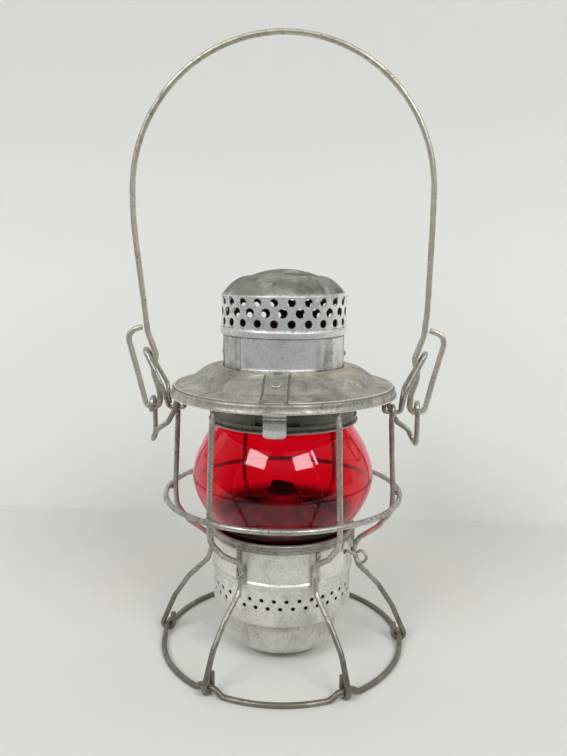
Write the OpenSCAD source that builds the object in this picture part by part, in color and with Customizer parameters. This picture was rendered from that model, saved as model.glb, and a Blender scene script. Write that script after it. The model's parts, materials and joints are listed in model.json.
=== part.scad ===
// Railroad lantern with a wire guard frame, a red glass globe, a hinged sheet hood and a wire bail.
// The origin is on the floor under the globe's axis, +Z is up and the latch faces -Y.

/* [Wires] */
// Diameter of the guard and ring wire
frame_wire = 3.6; // [3:0.1:4.4]
// Diameter of the bail wire
bail_wire = 3.8; // [3:0.1:4.6]
// Diameter of the two bail ears' wire
ear_wire = 3.4; // [2.6:0.1:4.1]
// Diameter of the two bail stays' wire
stay_wire = 3; // [2.4:0.1:3.6]
// Diameter of the short clips on the globe holder
clip_wire = 2.6; // [2:0.1:3.2]
// Diameter of the wick raiser's shaft
raiser_wire = 2; // [1.6:0.1:2.4]

/* [Globe] */
// Height of the globe
globe_h = 82.5; // [66:0.5:100]
// Largest outer radius of the globe
globe_r = 60.3; // [54:0.1:73]
// Outer radius of the globe's foot
globe_foot_r = 45; // [40:0.1:50]
// Outer radius of the globe's neck
globe_neck_r = 43.6; // [40:0.1:47]
// Wall of the globe
globe_wall = 3; // [2:0.1:4]

/* [Guard] */
// Radius of the base ring to the middle of its wire
base_ring_r = 81.4; // [74:0.2:100]
// Distance from the globe to the middle of a guard wire
guard_gap = 14.3; // [10:0.1:20]
// How far the guards lean in from the middle ring to the hood
guard_lean = 3.6; // [1:0.1:5]
// Height of the middle ring above the globe's seat
ring_rise = 25.5; // [20:0.5:32]
// Angle of the front guards from the latch, at the middle ring and above
front_angle = 31.5; // [26:0.5:36]
// Angle of the side guards from the latch
side_angle = 92; // [90:1:94]
// Angle of the rear guards from the latch
rear_angle = 151; // [144:1:156]
// Height of the hooked foot ends above the floor
hook_h = 13.5; // [10:0.5:18]

/* [Pot and holder] */
// Height of the pot's bottom above the floor
pot_clear = 5.5; // [5:0.5:12]
// Height of the pot below the air skirt
pot_drop = 24.5; // [18:0.5:30]
// Outer radius of the pot
pot_r = 37.3; // [32:0.1:40]
// Height of the perforated air skirt
skirt_h = 30.8; // [26:0.2:37]
// Height of the globe holder's wall from the skirt to the globe's seat
holder_h = 21.5; // [18:0.5:26]
// Height of the rolled rim round the globe's foot
rim_h = 6; // [4:0.5:8]
// Sheet thickness of the pot, the skirt and the holder
sheet = 0.8; // [0.6:0.05:1]
// Diameter of the skirt's air holes
skirt_hole_d = 2.4; // [1.8:0.1:3]
// Number of air holes in each of the skirt's two rows
skirt_holes = 36; // [24:2:40]

/* [Hood and chimney] */
// Height of the hood's outer band
band_h = 6.2; // [5:0.2:8]
// Width of the rolled flange under the band
flange_w = 2.3; // [1.5:0.1:3]
// Width of the flat brim
brim_w = 11; // [9:0.5:13]
// Rise of the brim
brim_rise = 2.6; // [2:0.2:4]
// Rise of the hood's dome from the brim to the chimney
dome_rise = 10; // [8:0.2:13]
// Outer radius of the chimney
chimney_r = 39.5; // [35:0.1:42]
// Height of the plain chimney above the hood
chimney_h = 21.1; // [17:0.1:25]
// Height of the bead between the chimney and the vent
bead_h = 5.5; // [4:0.5:7]
// Height of the perforated band
vent_h = 18.4; // [18:0.2:22]
// Rise of the vent's domed top
cap_rise = 17.6; // [14:0.2:21]
// Number of holes in each of the vent's three rows
vent_holes = 24; // [18:1:26]
// Diameter of the upper and lower vent holes
vent_hole_d = 4.9; // [3.8:0.05:4.95]
// Diameter of the middle row's vent holes
vent_mid_d = 5.7; // [4:0.05:6]
// Width of the latch strap
latch_w = 14; // [10:0.5:18]
// Thickness of the latch spring
latch_t = 0.8; // [0.6:0.1:1.2]
// Diameter of the lid's hinge pin
hinge_pin_d = 3; // [2.2:0.1:3.6]

/* [Bail] */
// Radius of the bail's round top
bail_r = 96; // [90:0.5:116]
// Height of the bail's top above its pivot
bail_h = 236.5; // [200:0.5:284]
// Sideways set of the bail's bow from use
bail_set = 2.5; // [0:0.5:4]
// Distance from a side guard's eye to a bail ear
ear_reach = 16; // [15:0.5:18]
// Drop of the ears below the pivot
ear_drop = 20.8; // [18:0.2:26]

/* [Burner] */
// Width of the flat wick
wick_w = 12.9; // [10:0.1:14]
// Thickness of the wick
wick_t = 1.6; // [1.2:0.1:2]
// Angle of the wick raiser from the latch
raiser_angle = 60; // [52:1:68]
// Outside radius of the spur wheels
wheel_r = 3.4; // [3:0.1:4]
// Teeth on each spur wheel
wheel_teeth = 12; // [9:1:15]

/* [Hidden] */
$fn = 64;

// Clearances: between still pieces, between moving pieces, and round a shaft in its bore.
still_gap = 0.1;
move_gap = 0.3;
shaft_gap = 0.05;

// Radii, from the globe outwards.
guard_r = globe_r + guard_gap;
middle_ring_r = guard_r + frame_wire + still_gap;
guard_top_r = guard_r - guard_lean;
hood_r = guard_top_r + 3.3;
band_r = hood_r - flange_w;
brim_r = band_r - brim_w;
top_ring_r = band_r - sheet - 0.6 - frame_wire/2;
holder_r = globe_foot_r + 1.2 + sheet;
skirt_r = holder_r - 0.3;
tank_r = skirt_r - sheet - 2;
skirt_mouth_r = pot_r + 0.7;
neck_r = 13;
collar_r = globe_neck_r + 4.8;
vent_r = chimney_r + still_gap + sheet;

// Heights, from the floor up.
skirt_z = pot_clear + pot_drop;
holder_z = skirt_z + skirt_h;
seat_z = holder_z + holder_h;
rim_z = seat_z - 1.5;
globe_top_z = seat_z + globe_h;
ring_z = seat_z + ring_rise;
hood_z = globe_top_z + 9.8;
brim_z = hood_z + band_h;
dome_z = brim_z + brim_rise;
chimney_z = dome_z + dome_rise;
bead_z = chimney_z + chimney_h;
vent_z = bead_z + bead_h;
cap_z = vent_z + vent_h;
cover_z = holder_z - 4.7;
neck_z = cover_z + 6;
base_z = neck_z + 0.2;
shaft_z = holder_z + 13;
cone_z = seat_z - 2;
cone_top_z = seat_z + 30.7;

// The top ring's wire lies one sheet and one running gap under the sloping brim.
brim_tilt = atan(brim_rise/brim_w);
top_ring_z = brim_z + (band_r - top_ring_r)*tan(brim_tilt)
    - (sheet + move_gap + frame_wire/2)/cos(brim_tilt);

// The base ring is a sweep with a flat underside; over each foot it rises by a wire and a gap.
ring_base_z = frame_wire/2*cos(22.5);
foot_turn = frame_wire + still_gap;
foot_ring_z = frame_wire/2 + foot_turn;
// The two front guards wind a little below the middle ring, so a foot and a waist have angles of their own.
front_feet = [1.1, 2.8];
front_waists = [-2.9, 4.9];
foot_angles = [front_angle + front_feet[0], side_angle, rear_angle, -rear_angle, -side_angle,
    front_feet[1] - front_angle];
waist_angles = [front_angle + front_waists[0], side_angle, rear_angle, -rear_angle, -side_angle,
    front_waists[1] - front_angle];

// Pivots of the bail and its stays, along X, and of the lid, along X behind the hood.
pivot_z = hood_z - 11.6;
eye_x = guard_top_r + 1;
eye_turn = (frame_wire + stay_wire)/2 + move_gap;
ear_x = eye_x + ear_reach;
ear_turn = (ear_wire + bail_wire)/2 + 0.8;
loop_in_x = ear_x - (ear_wire + bail_wire)/2 - 1.4;
loop_out_x = ear_x + (ear_wire + bail_wire)/2 + 1;
hinge_y = hood_r + 4.7;
hinge_z = hood_z - 1.6;
knuckle_r = hinge_pin_d/2 + 1.4;
knuckle_w = 8;
bracket_w = 20;

// The raiser's shaft lies beside the wick, one wheel away from it.
shaft_side = wick_t/2 + wheel_r + move_gap;

steel = [0.62, 0.62, 0.60];
dull = [0.55, 0.54, 0.50];
dark = [0.42, 0.41, 0.39];
pale = [0.72, 0.71, 0.68];
ruby = [0.80, 0.03, 0.06, 0.6];
brass = [0.70, 0.55, 0.28];
cotton = [0.86, 0.82, 0.72];

// Vector helpers.
function unit(v) = v/norm(v);
function reversed(p) = [for (i = [len(p) - 1:-1:0]) p[i]];
function mirrored(p) = [for (q = p) [-q.x, q.y, q.z]];

// An arc of the given radius in the corner at b, between the lines to a and c.
function corner(a, b, c, r) =
    let (u = unit(a - b), v = unit(c - b), half = acos(u*v)/2, turn = 180 - 2*half,
        centre = b + unit(u + v)*r/sin(half), e = unit(b + u*r/tan(half) - centre), n = max(1, ceil(turn/22)))
    [for (k = [0:n]) centre + r*(e*cos(turn*k/n) - u*sin(turn*k/n))];

// A bent wire's centre line: straight runs between points, with one bend radius for each inner point.
function bent(p, r) =
    [p[0], for (i = [1:len(p) - 2]) each corner(p[i - 1], p[i], p[i + 1], r[i - 1]), p[len(p) - 1]];

// Directions along an open path, and a side vector carried along it without twisting.
function directions(p) = let (last = len(p) - 1)
    [for (i = [0:last]) unit(unit(p[min(i + 1, last)] - p[max(i - 1, 0)]))];
function carried(d, first) =
    [for (i = 0, s = unit(first - d[0]*(first*d[0])); i < len(d);
        i = i + 1, s = i < len(d) ? unit(s - d[i]*(s*d[i])) : s) s];

// Rings of a round wire, one for each path point, and the triangles that join them.
function rings(p, d, s, dia, sides) =
    [for (i = [0:len(p) - 1]) let (b = cross(d[i], s[i]))
        for (j = [0:sides - 1]) p[i] + dia/2*(s[i]*cos(360*(j + 0.5)/sides) + b*sin(360*(j + 0.5)/sides))];
function skin(rows, sides, closed) =
    [for (i = [0:rows - (closed ? 1 : 2)]) let (a = i*sides, b = ((i + 1)%rows)*sides)
        for (j = [0:sides - 1]) let (k = (j + 1)%sides) each [[a + j, b + j, b + k], [a + j, b + k, a + k]]];

// A wire along an open path. "first" is any direction across the wire at its start.
module wire(path, dia, first = [0.13, 0.31, 0.94], sides = 8) {
    d = directions(path);
    n = len(path);
    caps = [[for (j = [0:sides - 1]) j], [for (j = [sides - 1:-1:0]) (n - 1)*sides + j]];
    polyhedron(rings(path, d, carried(d, first), dia, sides), concat(skin(n, sides, false), caps));
}

// A wire ring along a closed path that turns once about Z, counter-clockwise.
module closed_wire(path, dia, sides = 8) {
    n = len(path);
    d = [for (i = [0:n - 1]) unit(path[(i + 1)%n] - path[(i + n - 1)%n])];
    s = [for (t = d) unit(cross([0, 0, 1], t))];
    polyhedron(rings(path, d, s, dia, sides), skin(n, sides, true));
}

// Sheet metal turned about Z. The profile is the outer face as [radius, height], inside on its left.
function left_of(a, b) = let (d = b - a) [-d.y, d.x]/norm(d);
function inner_face(p, t) = let (last = len(p) - 1)
    [for (i = [0:last]) let (m = left_of(p[max(i - 1, 0)], p[max(i, 1)]),
        n = left_of(p[min(i, last - 1)], p[min(i + 1, last)])) p[i] + t*(m + n)/(1 + m*n)];
function sheet_outline(p, t) = concat(p, reversed(inner_face(p, t)));
module turned(p, t = sheet) rotate_extrude() polygon(sheet_outline(p, t));
function turned_arc(c, r, a0, a1, n) = [for (k = [0:n]) c + r*[cos(a0 + (a1 - a0)*k/n), sin(a0 + (a1 - a0)*k/n)]];

// Radial holes in a ring of sheet, the first at the given angle from the latch.
module radial_holes(count, dia, r, z, start = 0)
    for (i = [0:count - 1]) rotate([0, 0, start + 360*i/count - 90]) translate([r - 3, 0, z])
        rotate([0, 90, 0]) cylinder(h = 6, d = dia, $fn = 24);
// Turns a shape that is drawn along +X to an angle from the latch, positive towards +X.
module at_angle(a) rotate([0, 0, a - 90]) children();
function at_point(a, r, z) = [r*sin(a), -r*cos(a), z];

// Outline of the hood: a nearly flat brim, then a dome that starts steeply and levels out at the chimney.
dome_power = 2.6;
brim_edge = [band_r - 0.8, brim_z + 0.5];
function dome_height(r) =
    dome_z + dome_rise*(1 - pow(1 - (brim_r - r)/(brim_r - chimney_r - 0.6), dome_power));
function hood_height(r) = r < brim_r ? dome_height(r)
    : dome_z - (r - brim_r)*(dome_z - brim_edge.y)/(brim_edge.x - brim_r);

// Wire frame

// The ring is level over a foot's wire and comes down within a few degrees of it.
level_angle = 2.6;
ramp_angle = 5.4;
function foot_lift(a) = let (near = min([for (f = foot_angles) abs((a - f + 540)%360 - 180)]))
    (1 + cos(180*min(max(near - level_angle, 0)/ramp_angle, 1)))/2;
module base_ring() color(dull) closed_wire([for (a = [0:2.5:357.5])
    [base_ring_r*sin(-a), base_ring_r*cos(a), ring_base_z + foot_lift(180 + a)*(foot_ring_z - ring_base_z)]],
    frame_wire);

module middle_ring() color(dull) translate([0, 0, ring_z]) rotate_extrude()
    translate([middle_ring_r, 0]) circle(d = frame_wire, $fn = 24);

module top_ring() color(dark) translate([0, 0, top_ring_z]) rotate_extrude()
    translate([top_ring_r, 0]) circle(d = frame_wire, $fn = 24);

// A guard's outline from its hooked foot to the middle ring: the foot, then the waist, then the ring's part,
// each as [radius, height].
kink_r = holder_r + frame_wire/2 + still_gap;
kink_z = holder_z + 6;
foot_low = [
    [base_ring_r - foot_turn, hook_h], [base_ring_r - foot_turn, frame_wire/2],
    [base_ring_r + 1.52*foot_turn, frame_wire/2], [base_ring_r - 5, frame_wire/2 + 24.5]
];
guard_waist = [[kink_r + 3.1, kink_z - 11], [kink_r, kink_z], [kink_r + 3.1, kink_z + 7.6]];
guard_high = [[guard_r - 0.6, ring_z - 14], [guard_r, ring_z]];
low_bends = [foot_turn*0.94, foot_turn*0.94, 20, 14, 8, 7, 8, 8, 12, 40];
module guard_wire(a, ends, end_bends, foot = 0, waist = 0)
    color(dull) wire(bent(concat([for (q = foot_low) at_point(a + foot, q.x, q.y)],
        [at_point(a + (foot + waist)/2, kink_r + 17.1, kink_z - 25)],
        [for (q = guard_waist) at_point(a + waist, q.x, q.y)],
        [at_point(a + waist/2, guard_r - 9.6, ring_z - 25)],
        [for (q = guard_high) at_point(a, q.x, q.y)], ends), concat(low_bends, end_bends)), frame_wire);

// The front and rear guards end under the top ring, which they carry.
module ring_guard(a, foot = 0, waist = 0) guard_wire(a, [
    at_point(a, guard_top_r + 0.4, hood_z - 9), at_point(a, top_ring_r, top_ring_z - frame_wire/2 - 3.5),
    at_point(a, top_ring_r, top_ring_z - frame_wire/2 - still_gap)
], [10, 4], foot, waist);
module guard_front_left() ring_guard(-front_angle, front_feet[1], front_waists[1]);
module guard_front_right() ring_guard(front_angle, front_feet[0], front_waists[0]);
module guard_rear_left() ring_guard(-rear_angle);
module guard_rear_right() ring_guard(rear_angle);

// The side guards end in an open eye round the pivot of the bail stays.
module eye_guard(side) guard_wire(side*side_angle, [
    [side*eye_x, eye_turn, pivot_z - 8], [side*eye_x, eye_turn, pivot_z + eye_turn],
    [side*eye_x, -eye_turn, pivot_z + eye_turn], [side*eye_x, -eye_turn, pivot_z - 2.5]
], [20, eye_turn*0.97, eye_turn*0.97]);
module guard_side_left() eye_guard(-1);
module guard_side_right() eye_guard(1);

// A bail ear starts under the top ring, dips below the pivot and ends in a crook over the bail's loop.
ear_bottom = pivot_z - ear_drop;
ear_start_y = 9;
ear_path = bent([
    [sqrt(pow(top_ring_r, 2) - pow(ear_start_y, 2)), ear_start_y, top_ring_z - frame_wire/2 - still_gap],
    [eye_x - 1.5, ear_start_y, pivot_z + 1.8], [eye_x + 4, ear_start_y, pivot_z - 8.5],
    [ear_x - 4.6, ear_start_y - 0.4, pivot_z - 13.5], [ear_x - 1, ear_start_y - 1, ear_bottom],
    [ear_x, -ear_turn, ear_bottom], [ear_x, -ear_turn, pivot_z + 2 + ear_turn],
    [ear_x, ear_turn, pivot_z + 2 + ear_turn], [ear_x, ear_turn, pivot_z - 2.5]
], [4, 5, 4, 3.5, 5, ear_turn*0.97, ear_turn*0.97]);
module bail_ear_right() color(dark) wire(ear_path, ear_wire);
module bail_ear_left() rotate([0, 0, 180]) bail_ear_right();

// Globe holder, air skirt and pot

// Short upright wires beside the guards that hold the holder to the frame.
clip_angle = 4;
module holder_clips() color(dark) for (a = waist_angles) at_angle(a + (a > 0 ? clip_angle : -clip_angle))
    translate([holder_r + clip_wire/2 + still_gap, 0, holder_z + 2*still_gap])
        cylinder(h = rim_z - holder_z - 3*still_gap, d = clip_wire, $fn = 24);

slot_w = raiser_wire + 2.2;
module globe_holder() color(pale) difference() {
    rotate_extrude() translate([holder_r - sheet, holder_z + still_gap])
        square([sheet, rim_z + rim_h - 0.5 - holder_z]);
    at_angle(raiser_angle) translate([holder_r - 5, shaft_side - slot_w/2, shaft_z - slot_w/2])
        cube([10, slot_w, rim_z - 0.5 - shaft_z + slot_w/2]);
}

module globe_seat() color(pale) rotate_extrude() translate([holder_r - 11, seat_z - sheet - still_gap])
    square([11 - sheet - still_gap, sheet]);

module holder_rim() color(pale) rotate_extrude() polygon([
    [holder_r + still_gap, rim_z], [holder_r + 1.4, rim_z], [holder_r + 2, rim_z + rim_h*0.2],
    [holder_r + 2, rim_z + rim_h*0.7], [holder_r + 1.3, rim_z + rim_h], [holder_r + still_gap, rim_z + rim_h]
]);

// A small tab that shields the slot where the wick raiser leaves the holder.
module slot_tab() color(pale) at_angle(raiser_angle) translate([holder_r + 0.5, 0, rim_z - 5]) {
    translate([0, shaft_side - slot_w, 0]) cube([sheet, slot_w*2, 5 - still_gap]);
    translate([0, shaft_side + slot_w/2, 0]) cube([2.6, slot_w/2, 5 - still_gap]);
}

skirt_turn = -1.8;
module air_skirt() color(pale) difference() {
    turned(concat([[skirt_mouth_r, skirt_z + 0.6], [skirt_r - 6, skirt_z + 0.3]],
        turned_arc([skirt_r - 4.4, skirt_z + 4.7], 4.4, -75, 0, 3), [
        [skirt_r, holder_z - 4.2], [skirt_r + 0.9, holder_z - 3], [skirt_r + 0.9, holder_z - 1.2],
        [skirt_r + 0.2, holder_z]]));
    radial_holes(skirt_holes, skirt_hole_d, skirt_r, holder_z - 11.5, skirt_turn);
    radial_holes(skirt_holes, skirt_hole_d, skirt_r, holder_z - 16.6, skirt_turn + 180/skirt_holes);
}

// The pot hangs through the skirt's mouth by the wider tank above it.
pot_corner = 8;
tank_z = skirt_z + sheet + 0.9;
module pot() color(pale) turned(concat([[0, pot_clear]],
    turned_arc([pot_r - pot_corner, pot_clear + pot_corner], pot_corner, -90, 0, 6), [
    [pot_r, tank_z], [tank_r - 1.2, tank_z + 0.3], [tank_r, tank_z + 1.6], [tank_r, cover_z - 0.6]]));

module pot_cover() color(steel) turned([
    [tank_r, cover_z + still_gap], [tank_r - 1.6, cover_z + 2], [tank_r - 14, cover_z + 3.6],
    [neck_r + 1.5, cover_z + 4], [neck_r + 0.6, cover_z + 4.6], [neck_r + 0.6, neck_z]], sheet);

// Burner, seen dimly through the globe

wick_hole = [wick_w + 2.6, wick_t + 3];
module raiser_frame() at_angle(raiser_angle) children();
module wick_passage(z, h, grow = 0) raiser_frame()
    translate([-(wick_hole.x + grow)/2, -(wick_hole.y + grow)/2, z]) cube([wick_hole.x + grow,
        wick_hole.y + grow, h]);

// The base screws into the pot's neck and carries two lugs that hold the raiser's shaft.
gallery_r = 20;
lug_t = 1.6;
lug_x = wick_w/2 + 2.2;
module burner_base() color(brass) difference() {
    union() {
        translate([0, 0, cover_z]) cylinder(h = base_z - cover_z + 1, r = neck_r - sheet);
        translate([0, 0, base_z]) cylinder(h = 2.4, r = gallery_r);
        raiser_frame() for (x = [-lug_x, lug_x]) translate([x - lug_t/2, shaft_side - 2.5, base_z + 2])
            cube([lug_t, 5, shaft_z + 3 - base_z - 2]);
    }
    wick_passage(cover_z - 1, 12, 2*still_gap);
    raiser_frame() translate([-lug_x - 3, shaft_side, shaft_z]) rotate([0, 90, 0])
        cylinder(h = 2*lug_x + 6, r = raiser_wire/2 + shaft_gap);
}

module burner_gallery() color(brass) difference() {
    translate([0, 0, base_z + 2.4 + still_gap]) rotate_extrude() translate([gallery_r - sheet, 0])
        square([sheet, cone_z - base_z - 2.4 - 0.6]);
    radial_holes(12, 3, gallery_r, base_z + 6, raiser_angle + 15);
    raiser_frame() translate([gallery_r - 4, shaft_side, shaft_z]) rotate([0, 90, 0])
        cylinder(h = 8, r = raiser_wire/2 + 0.8);
}

module burner_cone() color(dark) difference() {
    turned([[gallery_r, cone_z], [gallery_r - 0.4, cone_z + 2], [15, cone_z + 7], [15, cone_top_z - 12],
        [14, cone_top_z - 7.5], [11.5, cone_top_z - 4], [9.5, cone_top_z - 2.6], [9, cone_top_z],
        [2, cone_top_z], [0, cone_top_z]]);
    wick_passage(cone_top_z - 3, 6);
}

// The tube runs from the pot's neck to below the cone's slot, with a window for the raiser's wheels.
tube_wall = 0.4;
tube_z = neck_z - 3;
tube_top_z = cone_top_z - 13;
module wick_tube() color(brass) difference() {
    wick_passage(tube_z, tube_top_z - tube_z);
    wick_passage(tube_z - 1, cone_top_z, -2*tube_wall);
    raiser_frame() translate([-wick_w/2, 0.5, shaft_z - wheel_r]) cube([wick_w, 5, 2*wheel_r]);
}

wick_z = pot_clear + 16;
wick_top_z = cone_top_z - 10;
module wick() color(cotton) raiser_frame() translate([-wick_w/2, -wick_t/2, wick_z])
    cube([wick_w, wick_t, wick_top_z - wick_z]);

raiser_end = holder_r + 4.5;
module raiser_shaft() color(dark) raiser_frame() translate([-lug_x - 2, shaft_side, shaft_z])
    rotate([0, 90, 0]) cylinder(h = raiser_end + lug_x + 2, d = raiser_wire, $fn = 32);

// Two star wheels bite the wick through the window in its tube.
wheel_t = 1.4;
module raiser_wheels() color(brass) raiser_frame() for (x = [-wick_w/4, wick_w/4])
    translate([x - wheel_t/2, shaft_side, shaft_z]) rotate([0, 90, 0]) linear_extrude(wheel_t) difference() {
        polygon([for (i = [0:2*wheel_teeth - 1])
            (i%2 == 0 ? wheel_r : wheel_r - 0.9)*[cos(180*i/wheel_teeth), sin(180*i/wheel_teeth)]]);
        circle(d = raiser_wire + 0.04, $fn = 32);
    }

// The shaft's outer end is bent to an open loop for the thumb.
loop_r = 3.7;
module raiser_loop() color(dark) raiser_frame() translate([raiser_end + still_gap, shaft_side, shaft_z])
    wire(concat([[0, 0, 0], [1.2, 0, 0], [2.3, 0, -0.5]],
        [for (a = [205:18:511]) [2.9 + loop_r + loop_r*cos(a), (a - 205)/306*2.2, -1.8 + loop_r*sin(a)]]),
        raiser_wire);

// Globe

// The outer face bulges from the foot and the neck to the widest place by a power of the height.
globe_bulge_h = globe_h*0.455;
foot_band = globe_h*0.06;
neck_band = globe_h*0.095;
globe_steps = 10;
function bulge(r, u) = globe_r - (globe_r - r)*pow(u, 1.8);
globe_outline = concat([[globe_foot_r, seat_z]],
    [for (k = [globe_steps:-1:1]) [bulge(globe_foot_r, k/globe_steps),
        seat_z + globe_bulge_h - (globe_bulge_h - foot_band)*k/globe_steps]],
    [for (k = [0:globe_steps]) [bulge(globe_neck_r, k/globe_steps),
        seat_z + globe_bulge_h + (globe_h - neck_band - globe_bulge_h)*k/globe_steps]],
    [[globe_neck_r, globe_top_z]]);
module globe() color(ruby) turned(globe_outline, globe_wall);

// Lid: hood, chimney and vent

module hinge_knuckle(x, w) translate([x, hinge_y, hinge_z]) rotate([0, 90, 0]) cylinder(h = w, r = knuckle_r);
module hinge_bore(x, w) translate([x, hinge_y, hinge_z]) rotate([0, 90, 0])
    cylinder(h = w, r = hinge_pin_d/2 + shaft_gap);

// The frame's half of the lid hinge is soldered under the top ring and runs out below the hood.
module hinge_bracket() color(steel) difference() {
    union() {
        translate([-bracket_w/2, top_ring_r - 1.2, hinge_z - knuckle_r])
            cube([bracket_w, 1, top_ring_z - frame_wire/2 - still_gap - hinge_z + knuckle_r]);
        translate([-bracket_w/2, top_ring_r - 1.2, hinge_z - knuckle_r])
            cube([bracket_w, hinge_y - top_ring_r + 1.2, 1]);
        hinge_knuckle(-bracket_w/2, bracket_w);
    }
    translate([-knuckle_w/2 - move_gap, hinge_y - knuckle_r - 1.4, hinge_z - knuckle_r - 1])
        cube([knuckle_w + 2*move_gap, 2*knuckle_r + 3, 2*knuckle_r + 2]);
    hinge_bore(-bracket_w, 2*bracket_w);
}

module hinge_pin() color(dark) translate([-bracket_w/2 - 1, hinge_y, hinge_z]) rotate([0, 90, 0])
    cylinder(h = bracket_w + 2, d = hinge_pin_d);

// The lid's half is riveted to the hood's band.
strap_t = 1;
strap_y = band_r + still_gap;
module hinge_strap() color(steel) difference() {
    union() {
        translate([-knuckle_w/2, strap_y, brim_z - 4.2]) cube([knuckle_w, strap_t, 3.6]);
        translate([-knuckle_w/2, 0, 0]) rotate([90, 0, 90]) linear_extrude(knuckle_w) polygon([
            [strap_y, brim_z - 4.2], [strap_y + strap_t, brim_z - 3], [hinge_y + 1.2, hinge_z + knuckle_r - 0.4],
            [hinge_y - 1.6, hinge_z + 1.6]]);
        hinge_knuckle(-knuckle_w/2, knuckle_w);
    }
    hinge_bore(-bracket_w, 2*bracket_w);
}
module hinge_rivet() color(steel) translate([0, strap_y + strap_t + still_gap, brim_z - 1.8]) rotate([-90, 0, 0])
    cylinder(h = 0.8, r = 1.1, $fn = 24);

// The hood: a rolled flange, a plain band, a nearly flat brim and a dome.
dome_steps = 10;
module hood() color(dull)
    turned(concat([[hood_r, hood_z + sheet], [band_r, hood_z + sheet], [band_r, brim_z - 0.4], brim_edge],
        [for (k = [0:dome_steps]) let (r = brim_r - (brim_r - chimney_r - 0.6)*k/dome_steps)
            [r, dome_height(r)]]));

module chimney() color(steel) rotate_extrude() translate([chimney_r - sheet, chimney_z - 4])
    square([sheet, chimney_h + 4 + bead_h*0.6]);

module chimney_rivets() color(steel) for (s = [-1, 1])
    translate([s*(chimney_r + still_gap), 0, chimney_z + chimney_h*0.42]) rotate([0, s*90, 0])
        cylinder(h = 1, r1 = 2.2, r2 = 1.5, $fn = 24);

// The vent's domed top: a full shoulder, and a crown that rises from it.
shoulder_r = 0.54*(vent_r + 0.6);
shoulder_rise = 0.74*cap_rise;
function cap_height(r) = r > shoulder_r
    ? shoulder_rise*(1 - pow((r - shoulder_r)/(vent_r + 0.6 - shoulder_r), 2.2))
    : shoulder_rise + (cap_rise - shoulder_rise)*(1 - pow(r/shoulder_r, 2));
vent_turn = -4;
vent_rows = [0.163, 0.514, 0.856]*vent_h;
// One drawn cap: a bead that sits over the chimney, the perforated band and the domed top.
module vent() color(steel) difference() {
    turned(concat([[vent_r + 0.1, bead_z], [vent_r + 0.7, bead_z + bead_h*0.2],
        [vent_r + 0.7, bead_z + bead_h*0.75], [vent_r, vent_z], [vent_r, cap_z - 2], [vent_r + 0.6, cap_z - 1.1],
        [vent_r + 0.6, cap_z]],
        [for (k = [1:11]) let (r = (vent_r + 0.6)*(1 - k/12)) [r, cap_z + cap_height(r)]],
        [[0, cap_z + cap_height((vent_r + 0.6)/12)]]));
    radial_holes(vent_holes, vent_hole_d, vent_r, vent_z + vent_rows[0], vent_turn);
    radial_holes(vent_holes, vent_mid_d, vent_r, vent_z + vent_rows[1], vent_turn + 180/vent_holes);
    radial_holes(vent_holes, vent_hole_d, vent_r, vent_z + vent_rows[2], vent_turn);
}

// A collar under the hood, and the flat flange inside it that holds the globe down.
collar_top_z = dome_height(collar_r) - sheet - 0.9;
collar_drop = 6.5;
module globe_retainer() color(dark) difference() {
    union() {
        rotate_extrude() translate([collar_r - sheet, globe_top_z - collar_drop])
            square([sheet, collar_top_z - globe_top_z + collar_drop]);
        translate([0, 0, globe_top_z - collar_drop - 0.3]) rotate_extrude() translate([collar_r, 0])
            circle(r = 0.9, $fn = 20);
    }
    for (i = [0:3]) rotate([0, 0, 90*i]) translate([-13.5, -collar_r - 3, globe_top_z - 1.2])
        cube([27, 6, 2.4]);
}
flange_in_r = globe_neck_r - 7.6;
module retainer_flange() color(dark) rotate_extrude() translate([flange_in_r, globe_top_z + move_gap])
    square([collar_r - sheet - still_gap - flange_in_r, sheet]);

// The latch: a strap riveted down the hood's front from the chimney to the brim's edge, a little wider there.
strap_lift = 0.25;
strap_taper = 1.4;
strap_steps = 14;
latch_eye_r = chimney_r + 5;
function strap_point(u) = let (r = chimney_r + 1 + (brim_edge.x - 0.1 - chimney_r - 1)*u)
    [r, hood_height(r) + strap_lift];
module latch_strap() color(steel) difference() {
    intersection() {
        turned([for (k = [0:strap_steps]) strap_point(k/strap_steps)], latch_t);
        linear_extrude(2*chimney_z) polygon([[(strap_taper - latch_w)/2, -chimney_r + 5], [-latch_w/2, -band_r],
            [latch_w/2, -band_r], [(latch_w - strap_taper)/2, -chimney_r + 5]]);
    }
    translate([0, -latch_eye_r, dome_z]) linear_extrude(2*dome_rise)
        polygon([for (a = [0:15:345]) [3.2*cos(a), 3.8*sin(a)]]);
}
latch_rivet_r = chimney_r + 15.8;
latch_rivet_tilt = atan(dome_height(latch_rivet_r - 0.5) - dome_height(latch_rivet_r + 0.5));
module latch_rivets() color(steel) translate([0, -latch_rivet_r, dome_height(latch_rivet_r)])
    rotate([latch_rivet_tilt, 0, 0]) translate([0, 0, strap_lift + latch_t + still_gap])
        cylinder(h = 0.7, r1 = 3.2, r2 = 2.6, $fn = 32);

// The spring hangs from the same rivet inside the hood, bulges towards the top ring and flares out below.
latch_y = brim_r - 1.3;
function spring_point(r) = let (q = norm([r, latch_w/2]))
    [r, dome_height(q) - (sheet + move_gap + latch_t)*norm([1, dome_height(q - 0.5) - dome_height(q + 0.5)])];
latch_line = [
    spring_point(brim_r - 7), spring_point(brim_r - 4), [latch_y - 0.5, dome_z - 1.2],
    [latch_y + 0.6, hood_z + 3.4], [top_ring_r - frame_wire/2 - 1.4, hood_z - 1.8],
    [latch_y + 3.3, hood_z - 5.6], [latch_y + 3.7, hood_z - 9.6], [top_ring_r - frame_wire/2 - 2, hood_z - 15.4]
];
module latch_spring() color(pale) rotate([90, 0, -90]) translate([0, 0, -latch_w/2]) linear_extrude(latch_w)
    polygon(sheet_outline(latch_line, latch_t));

// Bail and stays

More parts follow.
